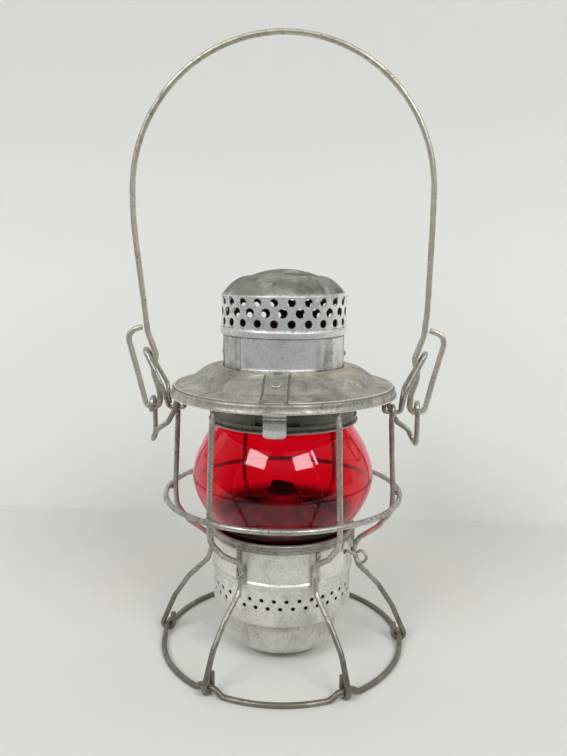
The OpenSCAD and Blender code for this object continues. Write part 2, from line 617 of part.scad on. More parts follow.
// Half of the bail: the loop round the ear, the kink that the stay holds, and the start of the bow.
bow_z = pivot_z + bail_h - bail_r;
function bail_side(s, set) = [
    [s*(loop_out_x + 1.7), 0, pivot_z + 54], [s*(loop_out_x + 12.4), 0, pivot_z + 50.5],
    [s*(loop_out_x + 4.7), 0, pivot_z + 20.3], [s*loop_out_x, 0, pivot_z], [s*loop_in_x, 0, pivot_z],
    [s*(loop_in_x + 0.5), 0, pivot_z + 11], [s*(loop_in_x + 4.8), 0, pivot_z + 24.3],
    [s*(loop_in_x + 2.2), 0, pivot_z + 35.5], [s*(loop_in_x + 7.8), 0, pivot_z + 50.8],
    [s*(loop_in_x + 9.3), 0, pivot_z + 65.8], [s*bail_r - set, 0, bow_z - 18], [s*bail_r - set, 0, bow_z]
];
side_bends = [7, 60, 4.4, 4.4, 20, 14, 6, 16, 60, 150];
bow = [for (a = [7.5:7.5:172.5]) [bail_r*cos(a) - bail_set, 0, bow_z + bail_r*sin(a)]];
module bail() color(pale) wire(concat(bent(bail_side(1, bail_set), side_bends), bow,
    reversed(bent(bail_side(-1, bail_set), side_bends))), bail_wire);

// A stay is a hairpin: one end turns in the side guard's eye, and the bail's wire passes between its legs.
stay_half = (stay_wire + bail_wire)/2 + 0.8;
stay_path = bent([
    [eye_x - 5.5, 0, pivot_z + 6], [eye_x - 5.5, 0, pivot_z], [eye_x + 5.4, 0, pivot_z],
    [eye_x + 7.7, -stay_half - 3.2, pivot_z + 15], [loop_in_x + 9.2, -stay_half, pivot_z + 39.2],
    [loop_in_x + 9.2, stay_half, pivot_z + 39.2], [eye_x + 7.7, stay_half + 3.2, pivot_z + 15],
    [eye_x + 5.6, 3.9, pivot_z + 1.5]
], [1.9, 2.6, 9, stay_half*0.96, stay_half*0.96, 9]);
module bail_stay_right() color(dark) wire(stay_path, stay_wire);
module bail_stay_left() color(dark) wire(mirrored(stay_path), stay_wire);

base_ring();
middle_ring();
top_ring();
guard_front_left();
guard_front_right();
guard_side_left();
guard_side_right();
guard_rear_left();
guard_rear_right();
bail_ear_left();
bail_ear_right();
holder_clips();
globe_holder();
globe_seat();
holder_rim();
slot_tab();
air_skirt();
pot();
pot_cover();
burner_base();
burner_gallery();
burner_cone();
wick_tube();
wick();
raiser_shaft();
raiser_wheels();
raiser_loop();
globe();
hinge_bracket();
hinge_pin();
hood();
hinge_strap();
hinge_rivet();
chimney();
chimney_rivets();
vent();
globe_retainer();
retainer_flange();
latch_strap();
latch_rivets();
latch_spring();
bail();
bail_stay_left();
bail_stay_right();
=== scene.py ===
"""Finished surfaces of a wire-guard hand lantern and its small studio stage, built round a fixed frame.

Lengths are in millimetres until make_piece turns them into metres. Materials and the stage are in metres.
+Z is up, the latch faces -Y and the globe's axis is Z. Angles are in degrees round Z, from the latch to +X.
"""

import functools
import json
import math

import bmesh
import bpy
import numpy as np
from bpy.props import FloatProperty, FloatVectorProperty, PointerProperty
from mathutils import Euler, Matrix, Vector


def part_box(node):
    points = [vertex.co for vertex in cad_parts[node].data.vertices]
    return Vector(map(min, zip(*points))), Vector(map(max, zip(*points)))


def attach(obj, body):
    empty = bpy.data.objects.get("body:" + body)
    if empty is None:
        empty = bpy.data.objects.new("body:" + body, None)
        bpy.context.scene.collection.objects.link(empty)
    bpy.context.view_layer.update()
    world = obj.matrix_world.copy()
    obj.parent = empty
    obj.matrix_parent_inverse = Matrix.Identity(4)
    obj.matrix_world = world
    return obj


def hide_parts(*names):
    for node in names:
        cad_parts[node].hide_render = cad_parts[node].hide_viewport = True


bl_info = {
    "name": "Wire Guard Lantern",
    "version": (1, 0, 0),
    "blender": (4, 5, 0),
    "location": "View3D > Sidebar > Lantern",
    "description": "Builds the wires, sheet metal, glass and stage of a hand lantern",
    "category": "Object",
}

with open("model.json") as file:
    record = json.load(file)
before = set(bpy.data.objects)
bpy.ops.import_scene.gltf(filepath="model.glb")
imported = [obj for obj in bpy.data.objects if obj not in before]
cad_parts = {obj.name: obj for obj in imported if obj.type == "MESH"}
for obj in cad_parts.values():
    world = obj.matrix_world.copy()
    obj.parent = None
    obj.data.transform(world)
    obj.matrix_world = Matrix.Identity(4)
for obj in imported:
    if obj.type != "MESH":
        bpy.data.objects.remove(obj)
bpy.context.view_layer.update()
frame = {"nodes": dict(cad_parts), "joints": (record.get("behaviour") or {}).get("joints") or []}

MM = 0.001

# The space between pieces that would touch, how near to Z a point is on it, and how near two points are one
GAP = 0.1
ON_AXIS = 0.001
SAME_POINT = 0.002


def low(node):
    """Lowest corner of a CAD node, in millimetres."""
    return np.array(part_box(node)[0]) / MM


def high(node):
    """Highest corner of a CAD node, in millimetres."""
    return np.array(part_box(node)[1]) / MM


JOINT = {joint["name"]: joint for joint in frame["joints"]}

# The CAD's bent wires have eight sides. This is how far a side lies from the middle, in radii of the wire.
FLAT_SIDE = math.cos(math.pi / 8)

# Wires and rings
FRAME_WIRE = high("middle_ring")[2] - low("middle_ring")[2]
WIRE_R = FRAME_WIRE / 2
MIDDLE_R, _, RING_Z = high("middle_ring") - WIRE_R
TOP_R, _, TOP_Z = high("top_ring") - WIRE_R
BASE_Z = WIRE_R * FLAT_SIDE
BASE_R = high("base_ring")[0] - BASE_Z
FOOT_TURN = FRAME_WIRE + GAP
GUARD_R = MIDDLE_R - FOOT_TURN
GUARD_TOP_R = GUARD_R - 3.6

# Guards from the front one at +X round to the front one at -X. The front ones lean a little sideways.
GUARD_ANGLES = np.array([31.5, 92, 151, -151, -92, -31.5])
FOOT_ANGLES = GUARD_ANGLES + [1.1, 0, 0, 0, 0, 2.8]
WAIST_ANGLES = GUARD_ANGLES + [-2.9, 0, 0, 0, 0, 4.9]
GUARD_NODES = {"guard_front_left": 5, "guard_front_right": 0, "guard_rear_left": 3, "guard_rear_right": 2,
               "guard_side_left": 4, "guard_side_right": 1}

# Pot, skirt, holder and burner
HOLDER_R = high("globe_holder")[0]
HOLDER_Z = low("globe_holder")[2] - GAP
SEAT_Z = high("globe_seat")[2] + GAP
RIM_Z, RIM_TOP_Z = low("holder_rim")[2], high("holder_rim")[2]
KINK_R = HOLDER_R + WIRE_R + GAP
KINK_Z = HOLDER_Z + 6
SKIRT_R = HOLDER_R - 0.3
SKIRT_Z = low("air_skirt")[2] - 0.3
SKIRT_TURN = -1.8
HOLES_TOP_Z = HOLDER_Z - 8.95
HOLES_Z = HOLES_TOP_Z - 10.2
POT_Z, POT_TOP_Z = low("pot")[2], high("pot")[2]
POT_R = 37.3
TANK_R = high("pot")[0]
TANK_Z = SKIRT_Z + 1.7
CONE_Z = SEAT_Z - 2
CONE_TOP_Z = high("burner_cone")[2]
GALLERY_R = high("burner_gallery")[0]

# Globe
GLOBE_R, _, GLOBE_TOP_Z = high("globe")
GLOBE_FOOT_R = 45
GLOBE_NECK_R = 43.6
GLOBE_WALL = 3

# Hood, chimney and vent
HOOD_R, HOOD_Z = high("hood")[0], low("hood")[2]
BAND_R = HOOD_R - 2.3
BRIM_R = BAND_R - 11
BRIM_Z = HOOD_Z + 6.2
BRIM_EDGE_R = BAND_R - 0.8
BRIM_EDGE_Z = BRIM_Z + 0.5
DOME_Z = BRIM_Z + 2.6
DOME_RISE = 10
DOME_POWER = 2.6
CHIMNEY_R = high("chimney")[0]
CHIMNEY_Z = DOME_Z + DOME_RISE
CHIMNEY_INSIDE_R = CHIMNEY_R - 0.45
SEAM_ANGLE = -37
BEAD_Z = low("vent")[2]
VENT_Z = BEAD_Z + 5.5
VENT_R = CHIMNEY_R + 0.9
VENT_TURN = -4
CAP_Z, CAP_TOP_Z = VENT_Z + 18.4, high("vent")[2]
CAP_RIM_R = VENT_R + 0.6
SHOULDER_R = 0.54 * CAP_RIM_R
SHOULDER_RISE = 0.74 * (CAP_TOP_Z - CAP_Z)
COLLAR_R = GLOBE_NECK_R + 4.8
LATCH_RIVET_R = CHIMNEY_R + 15.8

# Bail
PIVOT_Z = JOINT["bail_swing"]["pos_m"][2] / MM
EYE_X = GUARD_TOP_R + 1
EAR_X = EYE_X + 16

# Wick raiser
RAISER_ANGLE = 60
RAISER_AT = np.array(JOINT["raiser_turn"]["pos_m"]) / MM
RAISER_OUT = np.array(JOINT["raiser_turn"]["axis"])
SLOT_HALF = 2.1


def setting(name, description, default, unit="NONE"):
    """A value that the user may change. Lengths are given here in millimetres, and turns in degrees."""
    if isinstance(default, tuple):
        return FloatVectorProperty(name=name, description=description, default=default, subtype="COLOR",
                                   min=0, max=1)
    scale = {"LENGTH": MM, "ROTATION": math.radians(1)}.get(unit, 1)
    return FloatProperty(name=name, description=description, default=default * scale, unit=unit)


class LanternSizes(bpy.types.PropertyGroup):
    """Sizes of the lantern's wires and sheet metal."""

    frame_wire: setting("Guard wire", "Diameter of the rings' and guards' wire", FRAME_WIRE, "LENGTH")
    bail_wire: setting("Bail wire", "Diameter of the bail's wire", 3.8, "LENGTH")
    ear_wire: setting("Ear wire", "Diameter of the bail ears' wire", 3.4, "LENGTH")
    stay_wire: setting("Stay wire", "Diameter of the bail stays' wire", 3.0, "LENGTH")
    clip_wire: setting("Clip wire", "Diameter of the holder clips", 2.6, "LENGTH")
    raiser_wire: setting("Raiser wire", "Diameter of the wick raiser's shaft", 2.0, "LENGTH")
    waver: setting("Waver", "How far the hand-bent wires stray from true", 0.12, "LENGTH")
    thickness: setting("Thickness", "Thickness of the sheet metal", 0.8, "LENGTH")
    vent_hole: setting("Vent hole", "Diameter of the upper and lower vent holes", 4.9, "LENGTH")
    vent_mid_hole: setting("Middle vent hole", "Diameter of the middle vent holes", 5.75, "LENGTH")
    skirt_hole: setting("Skirt hole", "Diameter of the skirt's air holes", 2.6, "LENGTH")
    latch_width: setting("Latch width", "Width of the latch strap", 14, "LENGTH")
    dents: setting("Dents", "Depth of the shallow dents in the sheet", 0.22, "LENGTH")


class LanternFinish(bpy.types.PropertyGroup):
    """Colours of the lantern's finishes."""

    wire: setting("Wire", "Tinned wire of the frame", (0.52, 0.50, 0.45))
    bail: setting("Bail", "Handled wire of the bail", (0.62, 0.59, 0.5))
    hood: setting("Hood", "Sheet of the hood", (0.43, 0.412, 0.365))
    chimney: setting("Chimney", "Sheet of the chimney and vent", (0.88, 0.885, 0.87))
    holder: setting("Holder", "Sheet of the holder and skirt", (0.81, 0.795, 0.755))
    pot: setting("Pot", "Sheet of the oil pot", (0.7, 0.68, 0.64))
    # The collar's dark colour is partly painted shade: the collar, the seat ledge, the pot's cover and the
    # lining behind the collar's slots all lie in shade.
    collar: setting("Collar", "Darkened sheet of the collar inside the hood", (0.25, 0.235, 0.205))
    latch: setting("Latch", "Spring steel of the latch", (0.73, 0.73, 0.70))
    strap: setting("Strap", "Dusty steel of the latch strap", (0.41, 0.395, 0.36))
    solder: setting("Solder", "Dull solder", (0.40, 0.395, 0.37))
    brass: setting("Brass", "Sooty brass of the burner", (0.12, 0.085, 0.05))
    cone: setting("Cone", "Scorched sheet of the burner's cone", (0.16, 0.145, 0.12))
    dust: setting("Dust", "Dust that lies on upward faces", (0.21, 0.198, 0.165))
    rust: setting("Rust", "Rust near the floor", (0.17, 0.065, 0.03))
    glass: setting("Glass", "Ruby glass of the globe", (0.92, 0.02, 0.11))
    wick: setting("Wick", "Cotton of the wick", (0.62, 0.56, 0.44))


class LanternStage(bpy.types.PropertyGroup):
    """Camera, floor and lights."""

    floor: setting("Floor", "Colour of the table", (0.69, 0.69, 0.66))
    backdrop: setting("Backdrop", "Colour of the wall", (0.735, 0.74, 0.715))
    softbox_radiance: setting("Softbox", "Brightness of the softboxes", 11.3)
    fill: setting("Fill", "Brightness of the room", 0.445)
    camera_distance: setting("Camera distance", "From the camera to the globe's axis", 463, "LENGTH")
    camera_height: setting("Camera height", "Height above the floor", 259.6, "LENGTH")
    camera_turn: setting("Camera turn", "Angle round the globe's axis", 4.4, "ROTATION")
    camera_pitch: setting("Camera pitch", "Angle below the horizon", 9.24, "ROTATION")
    camera_roll: setting("Camera roll", "Turn about the line of sight", 0.4, "ROTATION")


SETTINGS = {"lantern_sizes": LanternSizes, "lantern_finish": LanternFinish, "lantern_stage": LanternStage}


def size(key):
    """One of the panel's lengths, in millimetres."""
    return getattr(bpy.context.scene.lantern_sizes, key) / MM


def colour_of(key):
    """One of the panel's colours."""
    return tuple(getattr(bpy.context.scene.lantern_finish, key))


# Numbers on arrays

def unit(vectors):
    """Vectors divided by their lengths."""
    return vectors / np.linalg.norm(vectors, axis=-1, keepdims=True)


def bell(value, middle, width):
    """1 at the middle, falling off on both sides as a Gaussian curve."""
    return np.exp(-((value - middle) / width) ** 2)


def smooth(value, start, end):
    """From 0 at the start to 1 at the end, level at both, by 3s^2 - 2s^3."""
    share = np.clip((value - start) / (end - start), 0, 1)
    return share * share * (3 - 2 * share)


def xyz(x, y, z):
    """Points from their three coordinates, each a number or an array."""
    return np.stack(np.broadcast_arrays(x, y, z), axis=-1)


def round_z(angle, radius, height):
    """The point at an angle from the latch, at a radius from Z and a height."""
    turn = np.radians(angle)
    return xyz(radius * np.sin(turn), -radius * np.cos(turn), height)


def around_z(places):
    """The radius, the angle and the height of each place."""
    x, y, z = places.T
    return np.hypot(x, y), np.degrees(np.arctan2(x, -y)), z


OUTWARDS = round_z(RAISER_ANGLE, 1, 0)
ASIDE = round_z(RAISER_ANGLE + 90, 1, 0)


# Lines

def bent(corners, radii, step=7.0):
    """Straight runs between corners, with an arc of the given radius, tangent to both runs, in each."""
    corners = np.asarray(corners, float)
    path = [corners[:1]]
    for before, here, after, radius in zip(corners[:-2], corners[1:-1], corners[2:], radii):
        u, v = unit(before - here), unit(after - here)
        half = math.acos(np.clip(u @ v, -1, 1)) / 2
        turn = math.pi - 2 * half
        centre = here + unit(u + v) * radius / math.sin(half)
        spoke = unit(here + u * radius / math.tan(half) - centre)
        sweep = np.linspace(0, turn, max(3, int(math.degrees(turn) / step) + 2))[:, None]
        path.append(centre + radius * (spoke * np.cos(sweep) - u * np.sin(sweep)))
    return np.concatenate(path + [corners[-1:]])


def evenly(path, spacing):
    """The path again at equal steps of its own length."""
    path = np.asarray(path, float)
    length = np.append(0, np.cumsum(np.linalg.norm(np.diff(path, axis=0), axis=1)))
    at = np.linspace(0, length[-1], max(2, round(length[-1] / spacing) + 1))
    return np.stack([np.interp(at, length, axis) for axis in path.T], axis=1)


def stretches(edges, counts):
    """Numbers that go evenly from each edge to the next, with a count for each stretch."""
    parts = [np.linspace(*stretch)[1:] for stretch in zip(edges, edges[1:], counts)]
    return np.concatenate([edges[:1], *parts])


def arc(centre, radius, first, last, count):
    """Points on an arc from one angle to another, in degrees."""
    turn = np.radians(np.linspace(first, last, count))
    return np.asarray(centre) + radius * np.stack([np.cos(turn), np.sin(turn)], axis=1)


def eased(line, rounds, first=1, last=-1):
    """Rounds a line's corners: half of each point and a quarter of each of its neighbours make the new one.

    Only the points between the indices first and last move.
    """
    for _ in range(rounds):
        near = 0.25 * line[:-2] + 0.5 * line[1:-1] + 0.25 * line[2:]
        line[first:last] = near[first - 1:len(near) + last + 1]
    return line


def beside(line, distance):
    """A flat line moved to its own left."""
    along = unit(np.gradient(line, axis=0))
    return line + distance * np.stack([-along[:, 1], along[:, 0]], axis=1)


def strayed(points, amount, length, seed):
    """Adds a smooth stray: along each axis the sum of four sine waves in fixed random directions."""
    draw = np.random.default_rng(seed)
    waves = unit(draw.normal(size=(3, 4, 3))) * draw.uniform(0.6, 1.6, (3, 4, 1)) * 2 * math.pi / length
    phases = draw.uniform(0, 2 * math.pi, (3, 4))
    swing = np.sin(np.einsum("...k,awk->...aw", points, waves) + phases).mean(axis=-1)
    return points + amount * swing * 2


# Surfaces: each function returns points and quads, and solid() turns the quads outwards.

def grid_quads(rows, columns, wrap_rows=False, wrap_columns=False):
    """Quads of a grid of points: each joins a point to the next row, the next column and the one across."""
    i, j = np.meshgrid(np.arange(rows - (not wrap_rows)), np.arange(columns - (not wrap_columns)),
                       indexing="ij")
    below, beyond = (i + 1) % rows, (j + 1) % columns
    corners = [i * columns + j, below * columns + j, below * columns + beyond, i * columns + beyond]
    return np.stack(corners, axis=-1).reshape(-1, 4)


def solid(points, quads):
    """Turns the quads of a closed surface outwards: their signed volume is made positive."""
    a, b, c, d = (points[quads[:, k]] for k in range(4))
    volume = np.einsum("ij,ij->", np.cross(a, b), c) + np.einsum("ij,ij->", np.cross(a, c), d)
    return points, quads if volume > 0 else quads[:, ::-1]


def together(shells):
    """Several surfaces as one list of points and one of quads."""
    counts = np.cumsum([0] + [len(points) for points, _ in shells])
    points = np.concatenate([points for points, _ in shells])
    return points, np.concatenate([quads + first for (_, quads), first in zip(shells, counts)])


def dented(shells, amount, length, seed):
    """Surfaces joined into one and turned outwards, with shallow dents where a smooth stray moves them."""
    points, quads = together(shells)
    return solid(strayed(points, amount, length, seed), quads)


def carried(along):
    """A side vector at each station, carried along the path without twisting."""
    side = np.cross(along[0], [0.13, 0.31, 0.94])
    sides = []
    for direction in along:
        side = unit(side - direction * (side @ direction))
        sides.append(side)
    return np.array(sides)


def swept(path, diameter, sides=18, closed=False):
    """A round wire: a circle square to the path at each station. Open ends are flat with a soft edge."""
    if closed:
        along = unit(np.roll(path, -1, axis=0) - np.roll(path, 1, axis=0))
        side = unit(np.cross([0, 0, 1], along))
    else:
        along = unit(np.gradient(path, axis=0))
        side = carried(along)
    across = np.cross(along, side)
    radii = np.full(len(path), diameter / 2)
    if not closed:
        inset = np.array([0, 0, 0.1, 0.35])[:, None] * diameter / 2
        share = np.array([0, 0.7, 0.92, 1]) * diameter / 2
        path = np.concatenate([path[0] + along[0] * inset, path[1:-1], path[-1] - along[-1] * inset[::-1]])
        radii = np.concatenate([share, radii[1:-1], share[::-1]])
        order = np.pad(np.arange(len(along)), 3, mode="edge")
        side, across = side[order], across[order]
    turn = np.linspace(0, 2 * math.pi, sides, endpoint=False)[None, :, None]
    ring = side[:, None] * np.cos(turn) + across[:, None] * np.sin(turn)
    points = path[:, None] + radii[:, None, None] * ring
    return solid(points.reshape(-1, 3), grid_quads(len(path), sides, closed, True))


def sheet_outline(line, thickness):
    """A sheet's closed section: the outer line, then the line one thickness to its left, backwards.

    An end that isn't on the axis gets a half-round edge.
    """
    line = np.asarray(line, float)
    inner = beside(line, thickness)
    swing = np.radians([-60, -30, 0, 30, 60])[:, None]
    caps = []
    for end, sense in ((-1, 1), (0, -1)):
        left = (inner[end] - line[end]) / 2
        ahead = np.array([left[1], -left[0]])
        cap = line[end] + left + sense * (ahead * np.cos(swing) + left * np.sin(swing))
        caps.append(cap if line[end][0] > ON_AXIS else cap[:0])
    inner[:, 0] = np.maximum(inner[:, 0], 0)
    return np.concatenate([line, caps[0], inner[::-1], caps[1]])


def turned(section, steps=192, start=0.0, closed=True):
    """A section of radius and height turned about Z: radius and height stay, the angle goes round."""
    angles = start + np.linspace(0, 360, steps, endpoint=False)[:, None]
    points = round_z(angles, section[:, 0], section[:, 1])
    return points.reshape(-1, 3), grid_quads(steps, len(section), True, closed)


def turned_sheet(line, thickness, steps=192, dents=0.0, seed=1):
    """Sheet metal turned about Z, with shallow dents."""
    return dented([turned(sheet_outline(line, thickness), steps)], dents, 60, seed)


def open_turned(line, thickness, closed_end, steps, start):
    """A turned wall of two faces, open at one end and with an edge at the other.

    closed_end is 0 for an edge at the line's start and -1 for one at its end.
    """
    line = np.asarray(line, float)
    along = unit(np.gradient(line, axis=0))
    left = np.stack([-along[:, 1], along[:, 0]], axis=1)
    left[-1 - closed_end] = (-1, 0)
    inner = line + thickness * left
    inner[:, 0] = np.maximum(inner[:, 0], 0)
    push = 0.4 * thickness * (line[closed_end][0] > ON_AXIS) * (1 if closed_end else -1)
    edge = (line[closed_end] + inner[closed_end]) / 2 + push * along[closed_end]
    parts = [line, [edge], inner[::-1]]
    return turned(np.concatenate(parts if closed_end else parts[::-1]), steps, start, False)


def cut_sheet(outer, inner, keep, wrap=False):
    """Two grids of points, one for each face, kept where the mask is true.

    Walls join the faces at every border between a kept cell and one that isn't.
    """
    rows, columns = outer.shape[:2]
    index = np.arange(rows * columns).reshape(rows, columns)
    if wrap:
        index = np.concatenate([index, index[:, :1]], axis=1)
    back = rows * columns
    a, b, c, d = index[:-1, :-1], index[1:, :-1], index[1:, 1:], index[:-1, 1:]
    padded = np.pad(keep, 1, mode="wrap" if wrap else "constant")
    padded[0] = padded[-1] = False
    quads = [np.stack([a, b, c, d], -1)[keep], np.stack([a, d, c, b], -1)[keep] + back]
    for start, end, neighbour in ((a, b, padded[1:-1, :-2]), (b, c, padded[2:, 1:-1]),
                                  (c, d, padded[1:-1, 2:]), (d, a, padded[:-2, 1:-1])):
        quads.append(np.stack([end, start, start + back, end + back], -1)[keep & ~neighbour])
    points = np.concatenate([outer.reshape(-1, 3), inner.reshape(-1, 3)])
    return solid(points, np.concatenate(quads))


def perforated_wall(radius_at, thickness, rows, count, side_points):
    """A turned wall with round holes. Each hole has a cell of its own, and cells fill the wall.

    A cell's points lie on rings that change from the hole's circle to the cell's rectangle, first on
    the outer face and then, through the hole's wall, on the inner face. Rows are (low edge, high edge,
    hole's height, hole's diameter, angle of the first hole); rows half a cell apart share their points.
    """
    along = np.linspace(-1, 1, side_points, endpoint=False)
    one = np.ones(side_points)
    sides = ((along, -one), (one, along), (-along, one), (-one, -along))
    rectangle = np.concatenate([np.stack(side, 1) for side in sides])
    soft = 0.12
    share = np.array([1, 0.6, 0.25, 0, 0, 0, 0, 1])[:, None, None]
    widen = np.array([0, 0, 0, 1, 0, 0, 1, 0])[:, None, None] * soft
    depth = np.array([0, 0, 0, 0, soft, thickness - soft, thickness, thickness])[:, None]
    cells = np.arange(count)[:, None, None]
    shells = []
    for bottom, top, height, diameter, start in rows:
        radius = radius_at(np.array(height))
        edge = np.stack([rectangle[:, 0] * math.pi * radius / count,
                         (bottom + top) / 2 - height + rectangle[:, 1] * (top - bottom) / 2], axis=1)
        flat = edge * share + unit(edge) * (diameter / 2 + widen) * (1 - share)
        angle = start + cells * 360 / count + np.degrees(flat[..., 0] / radius)
        z = np.broadcast_to(height + flat[..., 1], angle.shape)
        points = round_z(angle, radius_at(z) - depth, z)
        ring = grid_quads(len(share), len(rectangle), False, True)
        shells.append((points.reshape(-1, 3), (ring + cells * flat[..., 0].size).reshape(-1, 4)))
    return together(shells)


def blob(centre, axes, seed, stray=0.25):
    """A bead of solder: an ellipsoid on three half axes, with a smooth stray of its surface."""
    u = np.linspace(0, math.pi, 11)[:, None]
    v = np.linspace(0, 2 * math.pi, 18, endpoint=False)
    ball = np.stack([np.sin(u) * np.cos(v), np.sin(u) * np.sin(v), np.cos(u) + 0 * v], axis=-1)
    points = centre + strayed(ball, stray, 2.2, seed) @ axes
    return solid(points.reshape(-1, 3), grid_quads(11, 18, False, True))


def button(centre, out, reach, rise, sides, across=(0.3, 0.2, 0.93)):
    """A round head on a flat back: a profile of reach and rise turned about its own axis."""
    v = np.linspace(0, 2 * math.pi, sides, endpoint=False)[:, None]
    side = unit(np.cross(out, across))
    ring = np.cos(v) * side + np.sin(v) * np.cross(out, side)
    cap = centre + reach[:, None, None] * ring + rise[:, None, None] * out
    points = np.concatenate([cap, centre + 0 * cap[:1]])
    return solid(points.reshape(-1, 3), grid_quads(len(points), sides, False, True))


# Meshes

def read(items, key, kind=float, width=3):
    """A mesh's own values as an array with one row for each item."""
    values = np.empty(len(items) * width, kind)
    items.foreach_get(key, values)
    return values.reshape(-1, width)


def signed_bend(mesh):
    """How sharply the surface bends at each point, outwards positive.

    A neighbour at distance d that lies h below the point's tangent plane bends it by 2h/d^2; the mean over
    the neighbours is smoothed twice and scaled, so that a sheet's edge is near 1 and a fold near -1.
    """
    count = len(mesh.vertices)
    places = read(mesh.vertices, "co")
    normals = read(mesh.vertex_normals, "vector", np.float32)
    a, b = read(mesh.edges, "vertices", np.int32, 2).T
    gap = places[b] - places[a]
    squared = np.maximum((gap * gap).sum(1), 1e-12)
    bend_a = -2 * (normals[a] * gap).sum(1) / squared
    bend_b = 2 * (normals[b] * gap).sum(1) / squared
    number = np.maximum(np.bincount(a, minlength=count) + np.bincount(b, minlength=count), 1)
    bend = (np.bincount(a, bend_a, count) + np.bincount(b, bend_b, count)) / number
    for _ in range(2):
        bend = 0.5 * bend + 0.5 * (np.bincount(a, bend[b], count) + np.bincount(b, bend[a], count)) / number
    return np.clip(bend * 0.5 * MM, -1, 1)


def make_piece(name, shells, finish, nodes, body="frame", slot=None, sharp=48.0, grime=None, stain=None):
    """Puts surfaces into one mesh object that rides on a body and stands for the named CAD nodes.

    Edges sharper than an angle in degrees stay sharp. The grime and the stain are functions of the mesh's
    points: how dirty each one is, with values below 0 where it is rubbed clean, and how strongly it is
    stained. Both also carry painted light: the grime's values give painted shade above 0 and painted
    highlights below 0, and the stain paints shade and highlights in its colour.
    """
    points, quads = together(shells)
    mesh = bpy.data.meshes.new(name)
    mesh.vertices.add(len(points))
    mesh.vertices.foreach_set("co", (points * MM).astype(np.float32).ravel())
    mesh.loops.add(quads.size)
    mesh.loops.foreach_set("vertex_index", quads.astype(np.int32).ravel())
    mesh.polygons.add(len(quads))
    mesh.polygons.foreach_set("loop_start", np.arange(0, quads.size, 4, dtype=np.int32))
    mesh.update(calc_edges=True)
    work = bmesh.new()
    work.from_mesh(mesh)
    bmesh.ops.remove_doubles(work, verts=work.verts, dist=SAME_POINT * MM)
    work.to_mesh(mesh)
    work.free()
    mesh.polygons.foreach_set("use_smooth", np.ones(len(mesh.polygons), bool))
    mesh.set_sharp_from_angle(angle=math.radians(sharp))
    places = read(mesh.vertices, "co") / MM
    values = {"edge": signed_bend(mesh) - (grime(places) if grime else 0)}
    if stain:
        values["stain"] = stain(places)
    for key, value in values.items():
        mesh.attributes.new(key, "FLOAT", "POINT").data.foreach_set("value", value)
    mesh.materials.append(finish_of(finish))
    piece = bpy.data.objects.new(name, mesh)
    bpy.context.scene.collection.objects.link(piece)
    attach(piece, body)
    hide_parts(*nodes.split())


def make_wire(node, route, diameter, sides=18, closed=False, name=None, finish="wire", **more):
    """A round wire along a route in place of a CAD node, pressed flat where it stands on the floor."""
    points, quads = swept(route, diameter, sides, closed)
    points[:, 2] = np.maximum(points[:, 2], 0)
    make_piece(name or node + "_wire", [(points, quads)], finish, node, **more)


def refinish(node, finish):
    """Gives a CAD part one of the finishes."""
    part = frame["nodes"][node]
    part.data.materials.clear()
    part.data.materials.append(finish_of(finish))


# Shader nodes

class Signal:
    """A node's output that sums can be written with: each sign adds a Math node to its tree."""

    def __init__(self, socket):
        self.socket = socket
        self.tree = socket.id_data

    def __add__(self, other):
        return maths("ADD", self, other)

    def __sub__(self, other):
        return maths("SUBTRACT", self, other)

    def __rsub__(self, other):
        return maths("SUBTRACT", other, self)

    def __mul__(self, other):
        return maths("MULTIPLY", self, other)


def feed(node, inputs):
    """Sets a node's inputs, each to a plain value or from a signal."""
    for key, value in inputs.items():
        if isinstance(value, Signal):
            value.tree.links.new(value.socket, node.inputs[key])
        else:
            node.inputs[key].default_value = value


def put(tree, kind, inputs=None, out=0, **options):
    """Adds a shader node. Returns the signal of one output, or of each output in a tuple."""
    node = tree.nodes.new("ShaderNode" + kind)
    for key, value in options.items():
        setattr(node, key, value)
    feed(node, inputs or {})
    return [Signal(node.outputs[key]) for key in out] if isinstance(out, tuple) else Signal(node.outputs[out])


def tree_of(*values):
    """The tree of the first signal among some values."""
    return next(value.tree for value in values if isinstance(value, Signal))


def maths(operation, first, second):
    """The result of a Math node."""
    return put(tree_of(first, second), "Math", {0: first, 1: second}, operation=operation)


def mixed(share, first, second, blend="MIX"):
    """The result of a colour mix."""
    return put(tree_of(share, first, second), "Mix", {0: share, 6: first, 7: second}, 2, data_type="RGBA",
               blend_type=blend)


def between(value, start, end, low_value=0.0, high_value=1.0):
    """A value eased from one number to another as it goes from start to end."""
    return put(value.tree, "MapRange", {0: value, 1: start, 2: end, 3: low_value, 4: high_value},
               interpolation_type="SMOOTHSTEP")


def noise(place, scale, detail=4.0, roughness=0.55, distortion=0.0):
    """The value of a noise texture at a place."""
    return put(place.tree, "TexNoise", {"Vector": place, "Scale": scale, "Detail": detail,
                                        "Roughness": roughness, "Distortion": distortion})


def place_of(tree):
    """The place on the piece, in its own coordinates."""
    return put(tree, "TexCoord", out="Object")


def axes_of(tree):
    """The three coordinates of the place on the piece."""
    return put(tree, "SeparateXYZ", {0: place_of(tree)}, (0, 1, 2))


def bumped(height, strength, distance):
    """The normal of a surface with a relief, whose depth is in metres."""
    return put(height.tree, "Bump", {"Height": height, "Strength": strength, "Distance": distance}, "Normal")


def mixed_shader(tree, share, first, second):
    """Makes a mix of two shaders the material's surface."""
    both = put(tree, "MixShader", {0: share, 1: first, 2: second})
    feed(tree.nodes["Material Output"], {"Surface": both})


GREY = (0.5, 0.5, 0.5, 1.0)


